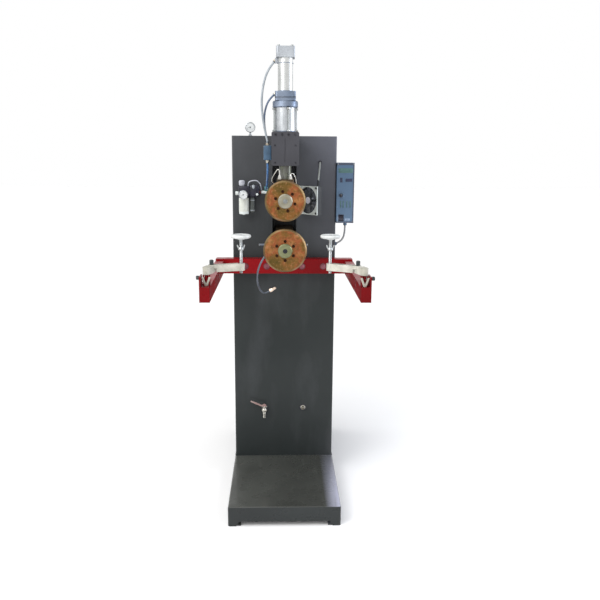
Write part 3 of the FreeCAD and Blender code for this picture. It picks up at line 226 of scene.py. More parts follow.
def enamel(name, dark, light, roughness, coat=0.0, peel=0.00012, dirt=None, top_light_and_rubs=None, gloss=0.22):
    """Sprayed paint: slow colour drift, orange peel, rubbed or dusty patches, and optionally a painted
    lighter top and painted sheen.
    """
    made = Finish(name, light, roughness, coat=coat)
    made.set("Specular IOR Level", gloss)
    paint = made.blend(made.noise(2.2, 3), dark, light)
    if top_light_and_rubs:
        axes = made.axes()
        # painted light: the paint turns lighter towards the top
        high = made.levels(axes["Z"], 0, 1, 0.95, 1.62)
        paint = made.mix(high, paint, top_light_and_rubs)
        # painted sheen: a bluish gleam of window light on the upper part, strongest towards the right
        across = made.levels(axes["X"], 0, 1, 0.02, 0.24)
        paint = made.mix(made.mix(high, (0, 0, 0), across), paint, (0.120, 0.125, 0.155))
        # rubbed streaks, in a lighter tone of the top colour
        paint = made.over(paint, scaled(top_light_and_rubs, 1.3), (7, 6, (1, 1, 0.35)), 0.35, 0.50, 0.72)
    if dirt:
        paint = made.over(paint, dirt, (9, 8), 0.55, 0.52, 0.72)
        paint = made.over(paint, scaled(light, 1.5), (30, 3, (1, 0.08, 1)), 0.35, 0.6, 0.8)
    made.colour(paint)
    made.rough(made.noise(14, 6), roughness - 0.06, roughness + 0.08)
    made.bump(made.noise(420, 2), peel)


def tread_enamel(name, dark, scuffed, window_gleam):
    """The tread's paint: dark sides, a scuffed top and a strip of painted window reflection along its
    right edge.
    """
    made = Finish(name, dark, 0.3, coat=0.25)
    made.set("Specular IOR Level", 0.3)
    facing = made.add("ShaderNodeSeparateXYZ", {0: made.add("ShaderNodeNewGeometry").outputs["Normal"]})
    top = made.levels(facing.outputs["Z"], 0, 1, 0.5, 0.9)
    axes = made.axes()
    base = made.blend(made.noise(3, 4), dark, scaled(dark, 1.5))
    worn = made.over(scuffed, scaled(scuffed, 0.45), (5, 6), 0.7, 0.38, 0.66)
    worn = made.mix(made.levels(axes["X"], 0, 0.55, -0.20, 0.0), worn, scaled(scuffed, 0.6))
    # painted reflection: a bright bluish strip of window light along the right edge, fading towards the
    # back
    edge = made.levels(axes["X"], 0, 1, 0.165, 0.265)
    front = made.levels(axes["Y"], 1.0, 0.25, -0.40, -0.05)
    worn = made.mix(made.mix(edge, (0, 0, 0), front), worn, window_gleam)
    worn = made.over(worn, scaled(scuffed, 1.4), (60, 5, (1, 0.12, 1)), 0.3, 0.58, 0.75)
    made.colour(made.mix(top, base, worn))
    made.rough(made.noise(18, 6), 0.22, 0.40)
    made.bump(made.noise(300, 2), 0.00005)


def metal(name, dark, light, roughness, grain=(1, 1, 1), grain_scale=300, depth=0.00003, stain=None):
    """Bare or plated metal with grain along one direction and slow staining."""
    made = Finish(name, light, roughness, metallic=1.0)
    paint = made.blend(made.noise(11, 6), dark, light)
    if stain:
        paint = made.over(paint, stain, (26, 8), 0.8, 0.5, 0.7)
    made.colour(paint)
    lines = made.noise(grain_scale, 3, grain)
    made.rough(lines, roughness - 0.07, roughness + 0.09)
    made.bump(lines, depth)


def cast(name, dark, light, roughness=0.55, metallic=0.25):
    """Sand-cast metal under a pale lacquer: coarse grain and pits."""
    made = Finish(name, light, roughness, metallic=metallic)
    paint = made.blend(made.noise(24, 8), dark, light)
    made.colour(made.over(paint, scaled(dark, 0.45), (260, 4), 0.5, 0.6, 0.75))
    made.rough(made.noise(60, 5), roughness - 0.1, roughness + 0.1)
    made.bump(made.noise(240, 5), 0.0004)


def plastic(name, dark, light, roughness, coat=0.0, grain=0.00008):
    """Moulded plastic or rubber with fine texture and slight wear."""
    made = Finish(name, light, roughness, coat=coat)
    made.colour(made.blend(made.noise(35, 6), dark, light))
    made.rough(made.noise(50, 5), roughness - 0.05, roughness + 0.08)
    made.bump(made.noise(700, 3), grain)


def copper_wheel(name, axis_z, shift):
    """Turned copper alloy with machining rings and heat colours from welding."""
    made = Finish(name, (0.42, 0.17, 0.055), 0.4, metallic=0.75)
    inputs = {0: made.mapped(shift=(0, 0, -axis_z)), 1: (1, 0, 1)}
    flat = made.add("ShaderNodeVectorMath", inputs, operation="MULTIPLY").outputs[0]
    radius = made.add("ShaderNodeVectorMath", {0: flat}, operation="LENGTH").outputs["Value"]
    patches = made.noise(16, 5, at=made.mapped((1, 1, 1), shift))
    heat = made.ramp(patches, [(0.34, (0.070, 0.056, 0.008)), (0.43, (0.135, 0.078, 0.014)),
                               (0.51, (0.22, 0.095, 0.022)), (0.58, (0.28, 0.072, 0.026)),
                               (0.66, (0.36, 0.15, 0.045)), (0.74, (0.42, 0.20, 0.11))])
    paint = made.over(heat, (0.085, 0.058, 0.012), (70, 8), 0.7, 0.48, 0.66)
    paint = made.over(paint, (0.42, 0.21, 0.10), (150, 6), 0.6, 0.56, 0.70)
    inputs = {"Scale": 900, "Detail": 3, "W": radius}
    rings = made.add("ShaderNodeTexNoise", inputs, noise_dimensions="1D")
    paint = made.mix(made.levels(rings.outputs["Fac"], 0, 0.25), paint, (0.32, 0.15, 0.055))
    made.colour(paint)
    made.rough(made.noise(40, 6), 0.3, 0.52)
    made.bump(rings.outputs["Fac"], 0.00008)
    made.bump(made.noise(220, 4), 0.00006)


def fan_casting(name, pale, dark):
    """A die-cast fan frame: pale machined front and stay, and sides darkened with painted shade."""
    made = Finish(name, pale, 0.46, metallic=0.6)
    inputs = {0: made.place, 1: FAN_FRONT}
    depth = made.add("ShaderNodeVectorMath", inputs, operation="DOT_PRODUCT").outputs["Value"]
    plane = MM * FAN_FRONT.dot(FAN_CENTRE)
    # painted shade: the frame's sides, from 4 mm behind the front, take the dark colour
    shaded_sides = made.levels(depth, 1, 0, plane - 0.0045, plane - 0.0035)
    beside = made.levels(depth, 0, 1, plane - 0.0290, plane - 0.0280)
    metal_tone = made.blend(made.noise(30, 5), scaled(pale, 0.7), pale)
    made.colour(made.mix(beside, metal_tone, made.mix(shaded_sides, metal_tone, dark)))
    made.rough(made.noise(90, 4), 0.38, 0.54)
    made.bump(made.noise(500, 3), 0.00006)


def milky(name, colour):
    """Clouded polycarbonate."""
    made = Finish(name, colour, 0.32, coat=0.4)
    made.colour(made.blend(made.noise(22, 5), scaled(colour, 0.82), colour))
    made.set("Subsurface Weight", 0.25)
    made.set("Subsurface Radius", (0.01, 0.01, 0.008))
    made.rough(made.noise(60, 4), 0.26, 0.38)
    made.bump(made.noise(300, 3), 0.00005)


def layered(name, pale, dark):
    """Edge-on steel sheets or copper leaves: fine lines one above another."""
    made = Finish(name, dark, 0.5, metallic=0.6)
    lines = made.noise(500, 2, (0.02, 1, 0.02))
    made.colour(made.blend(lines, pale, dark))
    made.rough(made.noise(40, 4), 0.42, 0.58)
    made.bump(lines, 0.0002)


# top_light_and_rubs: painted light that lightens the cabinet's top, and the base tone of its rubbed
# streaks
enamel("cabinet_enamel", (0.017, 0.021, 0.021), (0.026, 0.030, 0.030), 0.40, 0.06,
    top_light_and_rubs=(0.060, 0.062, 0.068))
# the last colour is painted reflection: bluish window light along the tread's right edge
tread_enamel("base_enamel", (0.012, 0.015, 0.015), (0.062, 0.065, 0.058), (0.62, 0.64, 0.82))
enamel("housing_enamel", (0.030, 0.030, 0.034), (0.058, 0.058, 0.067), 0.45)
enamel("red_enamel", (0.12, 0.0005, 0.0016), (0.25, 0.0010, 0.004), 0.3, 0.04, 0.00008, gloss=0.12)
enamel("motor_enamel", (0.03, 0.07, 0.11), (0.05, 0.11, 0.16), 0.45)
enamel("panel_enamel", (0.068, 0.120, 0.195), (0.112, 0.178, 0.27), 0.4, 0.1)
enamel("panel_edge_enamel", (0.05, 0.06, 0.09), (0.09, 0.10, 0.14), 0.45, 0.1)
enamel("lever_lacquer", (0.24, 0.09, 0.08), (0.36, 0.22, 0.20), 0.4, 0.2, dirt=(0.36, 0.34, 0.32))

metal("anodised_tube", (0.42, 0.44, 0.46), (0.66, 0.68, 0.70), 0.3, (1, 1, 0.05))
metal("anodised_slim_tube", (0.52, 0.53, 0.52), (0.70, 0.71, 0.70), 0.34, (1, 1, 0.05))
metal("machined_block", (0.17, 0.21, 0.28), (0.32, 0.37, 0.46), 0.42, (0.08, 1, 1))
metal("blasted_cap", (0.36, 0.38, 0.41), (0.52, 0.55, 0.58), 0.5, grain_scale=500)
metal("zinc_plate", (0.30, 0.32, 0.32), (0.50, 0.52, 0.52), 0.34, stain=(0.24, 0.23, 0.21))
metal("hard_chrome", (0.50, 0.50, 0.52), (0.66, 0.66, 0.68), 0.12, (1, 1, 0.03))
metal("oiled_ram", (0.10, 0.10, 0.09), (0.24, 0.24, 0.22), 0.3, (1, 1, 0.04), stain=(0.13, 0.15, 0.09))
metal("dark_socket_screw", (0.030, 0.014, 0.008), (0.07, 0.03, 0.018), 0.45)
metal("blackened_bolt", (0.035, 0.035, 0.04), (0.08, 0.08, 0.09), 0.45)
metal("beam_bolt_plate", (0.18, 0.05, 0.065), (0.34, 0.15, 0.17), 0.42)
metal("stained_nickel", (0.30, 0.28, 0.21), (0.50, 0.48, 0.40), 0.38, stain=(0.22, 0.20, 0.14))
metal("green_stained_nickel", (0.20, 0.21, 0.11), (0.34, 0.35, 0.21), 0.4, stain=(0.12, 0.11, 0.06))
metal("copper_bar", (0.42, 0.19, 0.09), (0.66, 0.34, 0.20), 0.34, stain=(0.25, 0.12, 0.07))
metal("tarnished_alloy", (0.055, 0.040, 0.025), (0.13, 0.09, 0.055), 0.5, stain=(0.03, 0.033, 0.025))
metal("greased_gear", (0.16, 0.16, 0.15), (0.36, 0.36, 0.36), 0.35, stain=(0.10, 0.08, 0.05))
# the dark colour is painted shade on the fan frame's sides
fan_casting("die_cast_frame", (0.50, 0.53, 0.50), (0.035, 0.037, 0.038))
metal("plated_bezel", (0.34, 0.36, 0.38), (0.52, 0.54, 0.56), 0.28)
metal("plated_brass", (0.40, 0.38, 0.33), (0.62, 0.60, 0.54), 0.28, stain=(0.36, 0.28, 0.19))
metal("nozzle_plate", (0.66, 0.52, 0.42), (0.90, 0.80, 0.68), 0.3, stain=(0.55, 0.36, 0.26))
metal("stainless_pipe", (0.09, 0.10, 0.12), (0.19, 0.21, 0.25), 0.34, stain=(0.14, 0.11, 0.10))
metal("plated_capillary", (0.50, 0.49, 0.45), (0.72, 0.71, 0.66), 0.3)
copper_wheel("upper_wheel_copper", MM * UPPER_Z, (0.13, 0.0, 0.05))
copper_wheel("lower_wheel_copper", MM * LOWER_Z, (0.61, 0.3, 0.44))
metal("worn_rim", (0.13, 0.09, 0.035), (0.30, 0.20, 0.10), 0.42, stain=(0.34, 0.20, 0.13))
layered("core_sheets", (0.13, 0.12, 0.11), (0.05, 0.05, 0.05))
layered("shunt_leaves", (0.42, 0.22, 0.12), (0.18, 0.08, 0.045))

cast("cream_casting", (0.38, 0.37, 0.31), (0.62, 0.60, 0.53))
cast("white_disc", (0.54, 0.56, 0.55), (0.74, 0.76, 0.75), 0.42, 0.1)
plastic("black_bakelite", (0.006, 0.012, 0.014), (0.016, 0.026, 0.028), 0.3, 0.2)
plastic("black_moulding", (0.003, 0.003, 0.010), (0.009, 0.008, 0.024), 0.34, 0.1)
plastic("silver_moulding", (0.30, 0.31, 0.36), (0.46, 0.47, 0.52), 0.34, 0.2)
plastic("navy_moulding", (0.02, 0.055, 0.10), (0.045, 0.10, 0.17), 0.4, 0.1)
plastic("teal_moulding", (0.015, 0.13, 0.12), (0.03, 0.24, 0.22), 0.35, 0.2)
plastic("white_moulding", (0.52, 0.56, 0.55), (0.68, 0.72, 0.70), 0.35, 0.2)
milky("ivory_bowl", (0.62, 0.64, 0.58))
milky("smoked_bowl", (0.055, 0.065, 0.06))
milky("sight_dome", (0.34, 0.37, 0.40))
plastic("dial_card", (0.56, 0.58, 0.58), (0.70, 0.72, 0.72), 0.5)
plastic("dial_ink", (0.02, 0.02, 0.025), (0.04, 0.04, 0.045), 0.6)
plastic("dark_red_seal", (0.06, 0.004, 0.006), (0.12, 0.008, 0.012), 0.4)
plastic("label_band", (0.045, 0.11, 0.11), (0.08, 0.17, 0.16), 0.35)
plastic("display_window", (0.008, 0.014, 0.045), (0.014, 0.024, 0.075), 0.3, 0.2)
plastic("panel_print", (0.22, 0.30, 0.42), (0.34, 0.43, 0.56), 0.5)
plastic("fan_plastic", (0.010, 0.012, 0.014), (0.024, 0.027, 0.030), 0.4, 0.1)
plastic("fan_hub_label", (0.30, 0.29, 0.32), (0.44, 0.43, 0.46), 0.4)
plastic("grey_hose", (0.20, 0.23, 0.26), (0.31, 0.34, 0.37), 0.35, 0.3)
plastic("dark_hose", (0.055, 0.085, 0.15), (0.11, 0.16, 0.25), 0.35, 0.3)
plastic("blue_hose", (0.025, 0.10, 0.27), (0.06, 0.19, 0.42), 0.3, 0.3)
plastic("grey_cable", (0.25, 0.255, 0.26), (0.36, 0.365, 0.37), 0.5)
plastic("taped_winding", (0.35, 0.24, 0.08), (0.5, 0.36, 0.14), 0.6)


CAD_FINISHES = {
    "base_enamel": "base_platform",
    "cabinet_enamel": "cabinet_shell rear_cover upper_arm",
    "housing_enamel": "guide_housing",
    "anodised_tube": "cylinder_lower_tube",
    "anodised_slim_tube": "cylinder_upper_tube",
    "machined_block": "cylinder_centre_block",
    "blasted_cap": "cylinder_top_cap",
    "zinc_plate": "tie_rods_and_bolts left_post right_post left_wing_nut right_wing_nut",
    "hard_chrome": "piston_rod",
    "oiled_ram": "ram",
    "tarnished_alloy": "upper_head lower_arm",
    "stained_nickel": "upper_shaft",
    "green_stained_nickel": "lower_shaft",
    "upper_wheel_copper": "upper_wheel",
    "lower_wheel_copper": "lower_wheel",
    "dark_socket_screw": "upper_wheel_bolts lower_wheel_bolts",
    "shunt_leaves": "current_shunt",
    "greased_gear": "driven_gear drive_pinion",
    "motor_enamel": "gear_motor",
    "core_sheets": "transformer",
    "copper_bar": "bus_bars",
    "red_enamel": "cross_beam side_arms",
    "cream_casting": "left_lower_link right_lower_link left_upper_link right_upper_link",
    "black_bakelite": "left_elbow_knob right_elbow_knob left_lock_knob right_lock_knob",
    "black_moulding": "air_regulator control_knob control_switch",
    "ivory_bowl": "air_bowls",
    "plated_bezel": "air_gauge roof_gauge",
    "silver_moulding": "regulator_knob",
    "navy_moulding": "solenoid_valve",
    "die_cast_frame": "fan_frame",
    "fan_plastic": "fan_impeller",
    "panel_enamel": "control_box",
    "plated_brass": "water_valve",
    "lever_lacquer": "valve_lever",
    "stainless_pipe": "water_pipe spray_pipe",
    "nozzle_plate": "spray_nozzle",
    "grey_hose": "top_hose",
    "dark_hose": "side_hose",
    "blue_hose": "air_hose",
    "grey_cable": "control_cable",
}


# ---------------------------------------------------------------- forms

def towards(axis):
    """The rotation that takes +Z to an axis."""
    return Vector(axis).to_track_quat("Z", "Y").to_matrix().to_4x4()


def polar(radius, degrees):
    """The point at a radius and an angle."""
    return radius * math.cos(math.radians(degrees)), radius * math.sin(math.radians(degrees))


def ribbed(radius, dip, ribs):
    """The outline of a grip whose every second corner dips."""
    return [polar(radius - dip * (i % 2), 360 * i / ribs) for i in range(ribs)]


class Shape:
    """Turned, boxed and cut-out forms gathered into one mesh, which becomes a piece."""

    def __init__(self):
        self.mesh = bmesh.new()

    def keep(self, points, faces, matrix=Matrix.Identity(4)):
        made = [self.mesh.verts.new(MM * (matrix @ Vector(p))) for p in points]
        return [self.mesh.faces.new([made[i] for i in face]) for face in faces]

    def turned(self, at, axis, profile, segments=48, spin=0.0):
        """A lathe form: profile is (radius, distance along the axis) from one end to the other.

        spin turns its first corner, in degrees.
        """
        matrix = Matrix.Translation(at) @ towards(axis)
        points, rings, faces = [], [], []
        for radius, along in profile:
            if radius < 1e-7:
                rings.append([len(points)])
                points.append((0, 0, along))
            else:
                rings.append(list(range(len(points), len(points) + segments)))
                points += [(*polar(radius, spin + 360 * i / segments), along) for i in range(segments)]
        for low, high in zip(rings, rings[1:]):
            for i in range(segments):
                j = (i + 1) % segments
                if len(low) == 1 and len(high) > 1:
                    faces.append((low[0], high[j], high[i]))
                elif len(high) == 1 and len(low) > 1:
                    faces.append((low[i], low[j], high[0]))
                elif len(low) > 1:
                    faces.append((low[i], low[j], high[j], high[i]))
        self.keep(points, faces, matrix)
        return self

    def prism(self, outline, depth, matrix, edge=0.0, segments=2):
        """An outline in XY, pulled along Z, with its edges rounded."""
        n = len(outline)
        points = [(x, y, 0) for x, y in outline] + [(x, y, depth) for x, y in outline]
        faces = [tuple(reversed(range(n))), tuple(range(n, 2 * n))]
        faces += [(i, (i + 1) % n, n + (i + 1) % n, n + i) for i in range(n)]
        made = self.keep(points, faces, matrix)
        if edge:
            edges = list(dict.fromkeys(e for face in made for e in face.edges))
            bmesh.ops.bevel(self.mesh, geom=edges, offset=MM * edge, segments=segments, profile=0.5,
                affect="EDGES", clamp_overlap=True)
        return self

    def block(self, low, high, edge=0.0, segments=2):
        """A box between two corners."""
        size = Vector(high) - Vector(low)
        outline = [(0, 0), (size.x, 0), (size.x, size.y), (0, size.y)]
        return self.prism(outline, size.z, Matrix.Translation(low), edge, segments)

    def bolt(self, at, axis, radius, height, washer=True, socket=False):
        """A washer and a hexagon or socket head with rounded corners."""
        start = 0
        if washer:
            start = 1.4
            self.turned(at, axis, [(0, 0), (radius * 1.45, 0), (radius * 1.45, 1), (radius * 1.38, start),
                (0, start)], 32)
        top = start + height
        if socket:
            self.turned(at, axis, [(0, start), (radius, start), (radius, top - 0.6), (radius - 0.6, top),
                (radius * 0.56, top)], 32)
            self.turned(at, axis, [(radius * 0.56, top), (radius * 0.52, top - height * 0.6),
                (0, top - height * 0.6)], 6)
        else:
            self.turned(at, axis, [(0, start), (radius, start), (radius, top - 0.9), (radius * 0.86, top),
                (0, top)], 6)
        return self

    def screw(self, at, axis, radius, height):
        """A socket head without a washer."""
        return self.bolt(at, axis, radius, height, False, True)

    def ball(self, at, radii, rings=12, segments=24):
        """An ellipsoid."""
        profile = [(math.sin(math.pi * i / rings), -math.cos(math.pi * i / rings))
            for i in range(rings + 1)]
        profile[0], profile[-1] = (0, -1), (0, 1)
        before = set(self.mesh.verts)
        self.turned((0, 0, 0), UP, profile, segments)
        for vert in set(self.mesh.verts) - before:
            vert.co = MM * Vector(at) + Vector(a * b for a, b in zip(vert.co, radii))
        return self

    def piece(self, name, finish, slot, replaces=False, body="frame", sharp=32):
        """The finished object, riding on its body, in the place of its slot's node if so said."""
        bmesh.ops.recalc_face_normals(self.mesh, faces=self.mesh.faces)
        mesh = bpy.data.meshes.new(name)
        bmesh.ops.remove_doubles(self.mesh, verts=self.mesh.verts, dist=1e-6)
        self.mesh.to_mesh(mesh)
        self.mesh.free()
        mesh.shade_smooth()
        mesh.set_sharp_from_angle(angle=math.radians(sharp))
        mesh.materials.append(bpy.data.materials[finish])
        made = bpy.data.objects.new(name, mesh)
        scene.collection.objects.link(made)
        return settle(made, body, slot, replaces)


def settle(made, body, slot, replaces=False):
    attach(made, body)
    if replaces:
        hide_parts(slot)
    return made


def swept(name, points, radius, body, finish, slot, replaces=False):
    """A round tube along a NURBS spline with these control points."""
    data = bpy.data.curves.new(name, "CURVE")
    data.dimensions = "3D"
    data.bevel_depth = radius
    data.bevel_resolution = 6
    data.resolution_u = 16
    data.use_fill_caps = True
    spline = data.splines.new("NURBS")
    spline.points.add(len(points) - 1)
    for point, place in zip(spline.points, points):
        point.co = (*place, 1)
    spline.order_u = 3
    spline.use_endpoint_u = True
    data.materials.append(bpy.data.materials[finish])
    made = bpy.data.objects.new(name, data)
    scene.collection.objects.link(made)
    return settle(made, body, slot, replaces)


def soften(node, width, segments=2, angle=38):
    """Rounds a CAD node's edges with modifiers, which leave its own mesh alone."""
    made = NODES[node]
    weld = made.modifiers.new("join", "WELD")
    weld.merge_threshold = 0.00002
    bevel = made.modifiers.new("edges", "BEVEL")
    bevel.width = MM * width
    bevel.segments = segments
    bevel.limit_method = "ANGLE"
    bevel.angle_limit = math.radians(angle)
    bevel.harden_normals = False


# ---------------------------------------------------------------- hoses and the cable

def hoses():
    """The three air hoses and the control cable, on the routes of the CAD model."""
    top = [(-0.038, -0.386, 1.801), (-0.057, -0.386, 1.781), (-0.078, -0.386, 1.735),
        (-0.088, -0.387, 1.672), (-0.086, -0.388, 1.617), (-0.078, -0.391, 1.564),
        (-0.066, -0.396, 1.514)]
    side = [(-0.038, -0.376, 1.686), (-0.060, -0.376, 1.668), (-0.075, -0.376, 1.632),
        (-0.079, -0.376, 1.593), (-0.075, -0.376, 1.552), (-0.066, -0.376, 1.514)]
    air = [(-0.066, -0.386, 1.434), (-0.066, -0.380, 1.405), (-0.068, -0.349, 1.377),
        (-0.071, -0.290, 1.352), (-0.074, -0.222, 1.336), (-0.077, -0.152, 1.328),
        (-0.078, -0.082, 1.326)]
    cable = [(0.271, 0.030, 1.164), (0.271, 0.030, 1.138), (0.266, 0.030, 1.110), (0.253, 0.030, 1.090),
        (0.233, 0.030, 1.081)]
    for node, finish, route, radius, length in (("top_hose", "grey_hose", top, 0.004, 0.302),
            ("side_hose", "dark_hose", side, 0.0035, 0.186), ("air_hose", "blue_hose", air, 0.004, 0.345),
            ("control_cable", "grey_cable", cable, 0.004, 0.099)):
        tube = swept(node + "_line", route, radius, "frame", finish, node, True)


# ---------------------------------------------------------------- press and wheels

def wheel(node, axis_z, radius, circle, first_angle, finish, hub_finish, hub_slot):
    """A turned roll electrode with its pale worn rim, six socket screws and hub face."""
    roll = node.split("_")[0] + "_roll"
    bore, at = 27, (0, WHEEL_BACK, axis_z)
    thick = WHEEL_BACK - WHEEL_FRONT
    Shape().turned(at, TOWARDS, [(bore, 0.5), (bore + 0.5, 0), (radius - 6.6, 0),
        (radius - 6.6, thick - 0.4), (radius - 7, thick), (radius - 12, thick),
        (radius - 12.4, thick - 0.4), (radius - 13.6, thick - 0.4), (radius - 14, thick), (50.5, thick),
        (50, thick - 0.6), (bore + 0.5, thick - 0.6), (bore, thick - 1.1), (bore, 0.5)],
        160).piece(node + "_disc", finish, node, True, roll)
    Shape().turned(at, TOWARDS, [(radius - 6.6, 0), (radius - 4.6, 0.2), (radius - 0.6, 3.6),
        (radius, 4.6), (radius, 8.4), (radius - 0.6, 9.4), (radius - 5.8, 13.6),
        (radius - 6.6, thick - 0.4), (radius - 6.6, 0)],
        160).piece(node + "_rim", "worn_rim", node, body=roll)
    screws = Shape()
    for i in range(6):
        x, z = polar(circle, first_angle + 60 * i)
        screws.screw((x, WHEEL_FRONT + 0.6, axis_z + z), TOWARDS, 5.6, 4.4)
    screws.piece(node + "_screws", "dark_socket_screw", node + "_bolts", True, roll)
    front = WHEEL_FRONT - 9
    hub = Shape().turned((0, front, axis_z), TOWARDS, [(24.5, -0.2), (24.5, 0.4), (24, 0.9), (15, 0.9),
        (14.6, 0.5), (12.8, 0.5), (12.4, 0.9), (9.2, 0.9), (8.8, 0.4), (8.8, -0.2)], 64)
    for i in range(4):
        x, z = polar(19.7, 20 + 90 * i)
        hub.turned((x, front - 0.9, axis_z + z), TOWARDS, [(2.2, 0), (1.9, 0.4), (1.2, 0.4), (1.1, 0.1),
            (0, 0.1)], 20)
    hub.piece(node + "_hub_face", hub_finish, hub_slot, body=roll)
    Shape().screw((0, front, axis_z), TOWARDS, 8.4, 1.2).piece(node + "_centre_screw",
        "zinc_plate" if node == "upper_wheel" else "blackened_bolt", hub_slot, body=roll)


def head_cooling():
    """The two plated water fittings on the press head, with their bent capillaries."""
    for name, x in (("left", -21.3), ("right", 19.7)):
        fitting = Shape().turned((x, -422, 1376.5), UP, [(0, 0), (7.2, 0), (7.2, 3.5), (6, 4.5),
            (6, 7.5)], 6)
        fitting.turned((x, -422, 1384), UP, [(6, 0), (6, 2), (4.6, 3.5), (4.2, 7), (0, 7)], 28)
        fitting.piece("cooling_fitting_" + name, "plated_capillary", "upper_head", body="press")
    swept("cooling_capillary_left", [(-0.0213, -0.422, 1.390), (-0.0213, -0.422, 1.404),
        (-0.0230, -0.421, 1.4135), (-0.0300, -0.419, 1.4120), (-0.0400, -0.414, 1.396),
        (-0.0500, -0.408, 1.378), (-0.0480, -0.400, 1.362), (-0.0325, -0.396, 1.356)], 0.0021, "press",
        "plated_capillary", "upper_head")
    swept("cooling_capillary_right", [(0.0197, -0.422, 1.390), (0.0200, -0.421, 1.396),
        (0.0270, -0.418, 1.4000), (0.0360, -0.412, 1.388), (0.0410, -0.404, 1.368),
        (0.0400, -0.398, 1.352), (0.0325, -0.396, 1.346)], 0.0021, "press", "plated_capillary",
        "upper_head")
    plate = Shape().block((-30, -433, 1264), (30, -431.8, 1290), 0.5)
    for x in (-24, 24):
        plate.screw((x, -431.8, 1364), TOWARDS, 3.5, 3)
    plate.piece("head_cover_plate", "tarnished_alloy", "upper_head", body="press")


def cylinder_details():
    """Tie rods, nuts, screws, rings and push-in fittings of the tandem cylinder and its valve."""
    foot, ring = 1550, 1636
    rods = Shape()
    for i in range(4):
        angle = 15 + 90 * i
        x, y = polar(42.2, angle)
        y += HEAD_Y
        rods.turned((x, y, foot), UP, [(0, 0), (3.3, 0), (3.3, ring - foot), (0, ring - foot)], 20)
        for low, tall in ((ring - 8.2, 8), (foot + 0.2, 6)):
            rods.turned((x, y, low), UP, [(3.5, 0), (6.6, 0), (7.4, 0.8), (7.4, tall - 0.8), (6.6, tall),
                (3.5, tall)], 6, angle)
    rods.piece("tie_rods", "zinc_plate", "tie_rods_and_bolts", True)

    screws = Shape()
    for dx in (-24, 24):
        for dy in (-24, 24):
            screws.bolt((dx, HEAD_Y + dy, 1849), UP, 5, 3.3, socket=True)
    screws.piece("cap_screws", "zinc_plate", "tie_rods_and_bolts")

    dark = Shape()
    for i in range(4):
        dark.screw((-36 + 24 * i, -432, 1539), TOWARDS, 4.2, 3)
    for x in (-38, 38):
        for z in (1438, 1500):
            dark.screw((x, -432, z), TOWARDS, 3, 2)
    dark.piece("housing_screws", "blackened_bolt", "tie_rods_and_bolts")

    band = Shape().turned((0, HEAD_Y, 1638.5), UP, [(47.2, 0), (47.8, 0.6), (47.8, 1.4), (47.2, 2)], 96)
    band.turned((0, HEAD_Y, 1791.5), UP, [(28, 0), (29.6, 0), (30, 0.4), (30, 1.6)], 64)
    band.turned((0, HEAD_Y, 1693.2), UP, [(30, 0), (30, 2.2), (29.5, 2.8), (28, 2.8)], 64)
    band.turned((0, HEAD_Y, 1550.2), UP, [(40, 0), (40, 2.2), (39.4, 2.8), (38, 2.8)], 96)
    band.piece("cylinder_rings", "machined_block", "cylinder_centre_block")

    groove = Shape()
    for dz in (8.5, 12.5):
        groove.block((-38.4, HEAD_Y - 38.4, 1660 + dz), (38.4, HEAD_Y + 38.4, 1661.5 + dz), 0.6)
    groove.piece("block_bands", "blackened_bolt", "cylinder_centre_block")

    slope = Vector((-19, 0, -20)).normalized()
    lean = Vector((-22, 0, -18)).normalized()
    fittings = (("cap_fitting", (-36, HEAD_Y, 1803), slope, "cylinder_top_cap"), ("centre_fitting",
        (-36, -376, 1687.6), lean, "cylinder_centre_block"), ("valve_fitting_front", (-66, -396, 1500),
        UP, "solenoid_valve"), ("valve_fitting_back", (-66, -376, 1500), UP, "solenoid_valve"),
        ("valve_fitting_under", (-66, -386, 1446), DOWN, "solenoid_valve"), ("air_set_fitting",
        (-78, -70, 1326), TOWARDS, "air_regulator"))
    for name, at, axis, slot in fittings:
        base = Vector(at)
        reach = 3 if name in ("cap_fitting", "centre_fitting") else 0.5
        nut = Shape().turned(base, axis, [(0, 0), (6.2, 0), (7, 0.6), (7, 4.4), (6.2, 5)], 6)
        nut.turned(base + axis * 5, axis, [(5.8, 0), (6, 0.6), (6, 5 - reach), (5.6, 5.6 - reach)], 32)
        nut.piece(name, "plated_brass", slot)
        Shape().turned(base + axis * (10.5 - reach), axis, [(5, 0), (5.6, 0.4), (5.6, 1.6), (5, 2.2),
            (4.3, 2.2)], 32).piece(name + "_collar", "navy_moulding", slot)


def valve_details():
    """Body, coil, connector and screws of the solenoid valve."""
    body = Shape().block((-80.8, -405.8, 1446.2), (-51.2, -366.2, 1499.8), 3, 3)
    for z in (1456, 1473, 1490):
        body.block((-81.2, -402, z - 1.2), (-80, -370, z + 1.2), 0.4)
    body.piece("valve_body", "navy_moulding", "solenoid_valve", True)
    coil = Shape().block((-76.8, -366.4, 1452.2), (-51.4, -340, 1485.8), 3, 3)
    coil.turned((-64, -340.2, 1469), AWAY, [(0, 0), (7.5, 0), (7.5, 7), (6, 9), (0, 9)], 32)
    coil.block((-75.5, -364, 1485.8), (-55.5, -344, 1499), 3, 3)
    coil.piece("valve_coil", "black_moulding", "solenoid_valve")
    screws = Shape()
    for z in (1450.5, 1495.5):
        for y in (-401.5, -370.5):
            screws.screw((-80.8, y, z), LEFT, 1.8, 0.6)
    screws.piece("valve_screws", "zinc_plate", "solenoid_valve")


# ---------------------------------------------------------------- work support

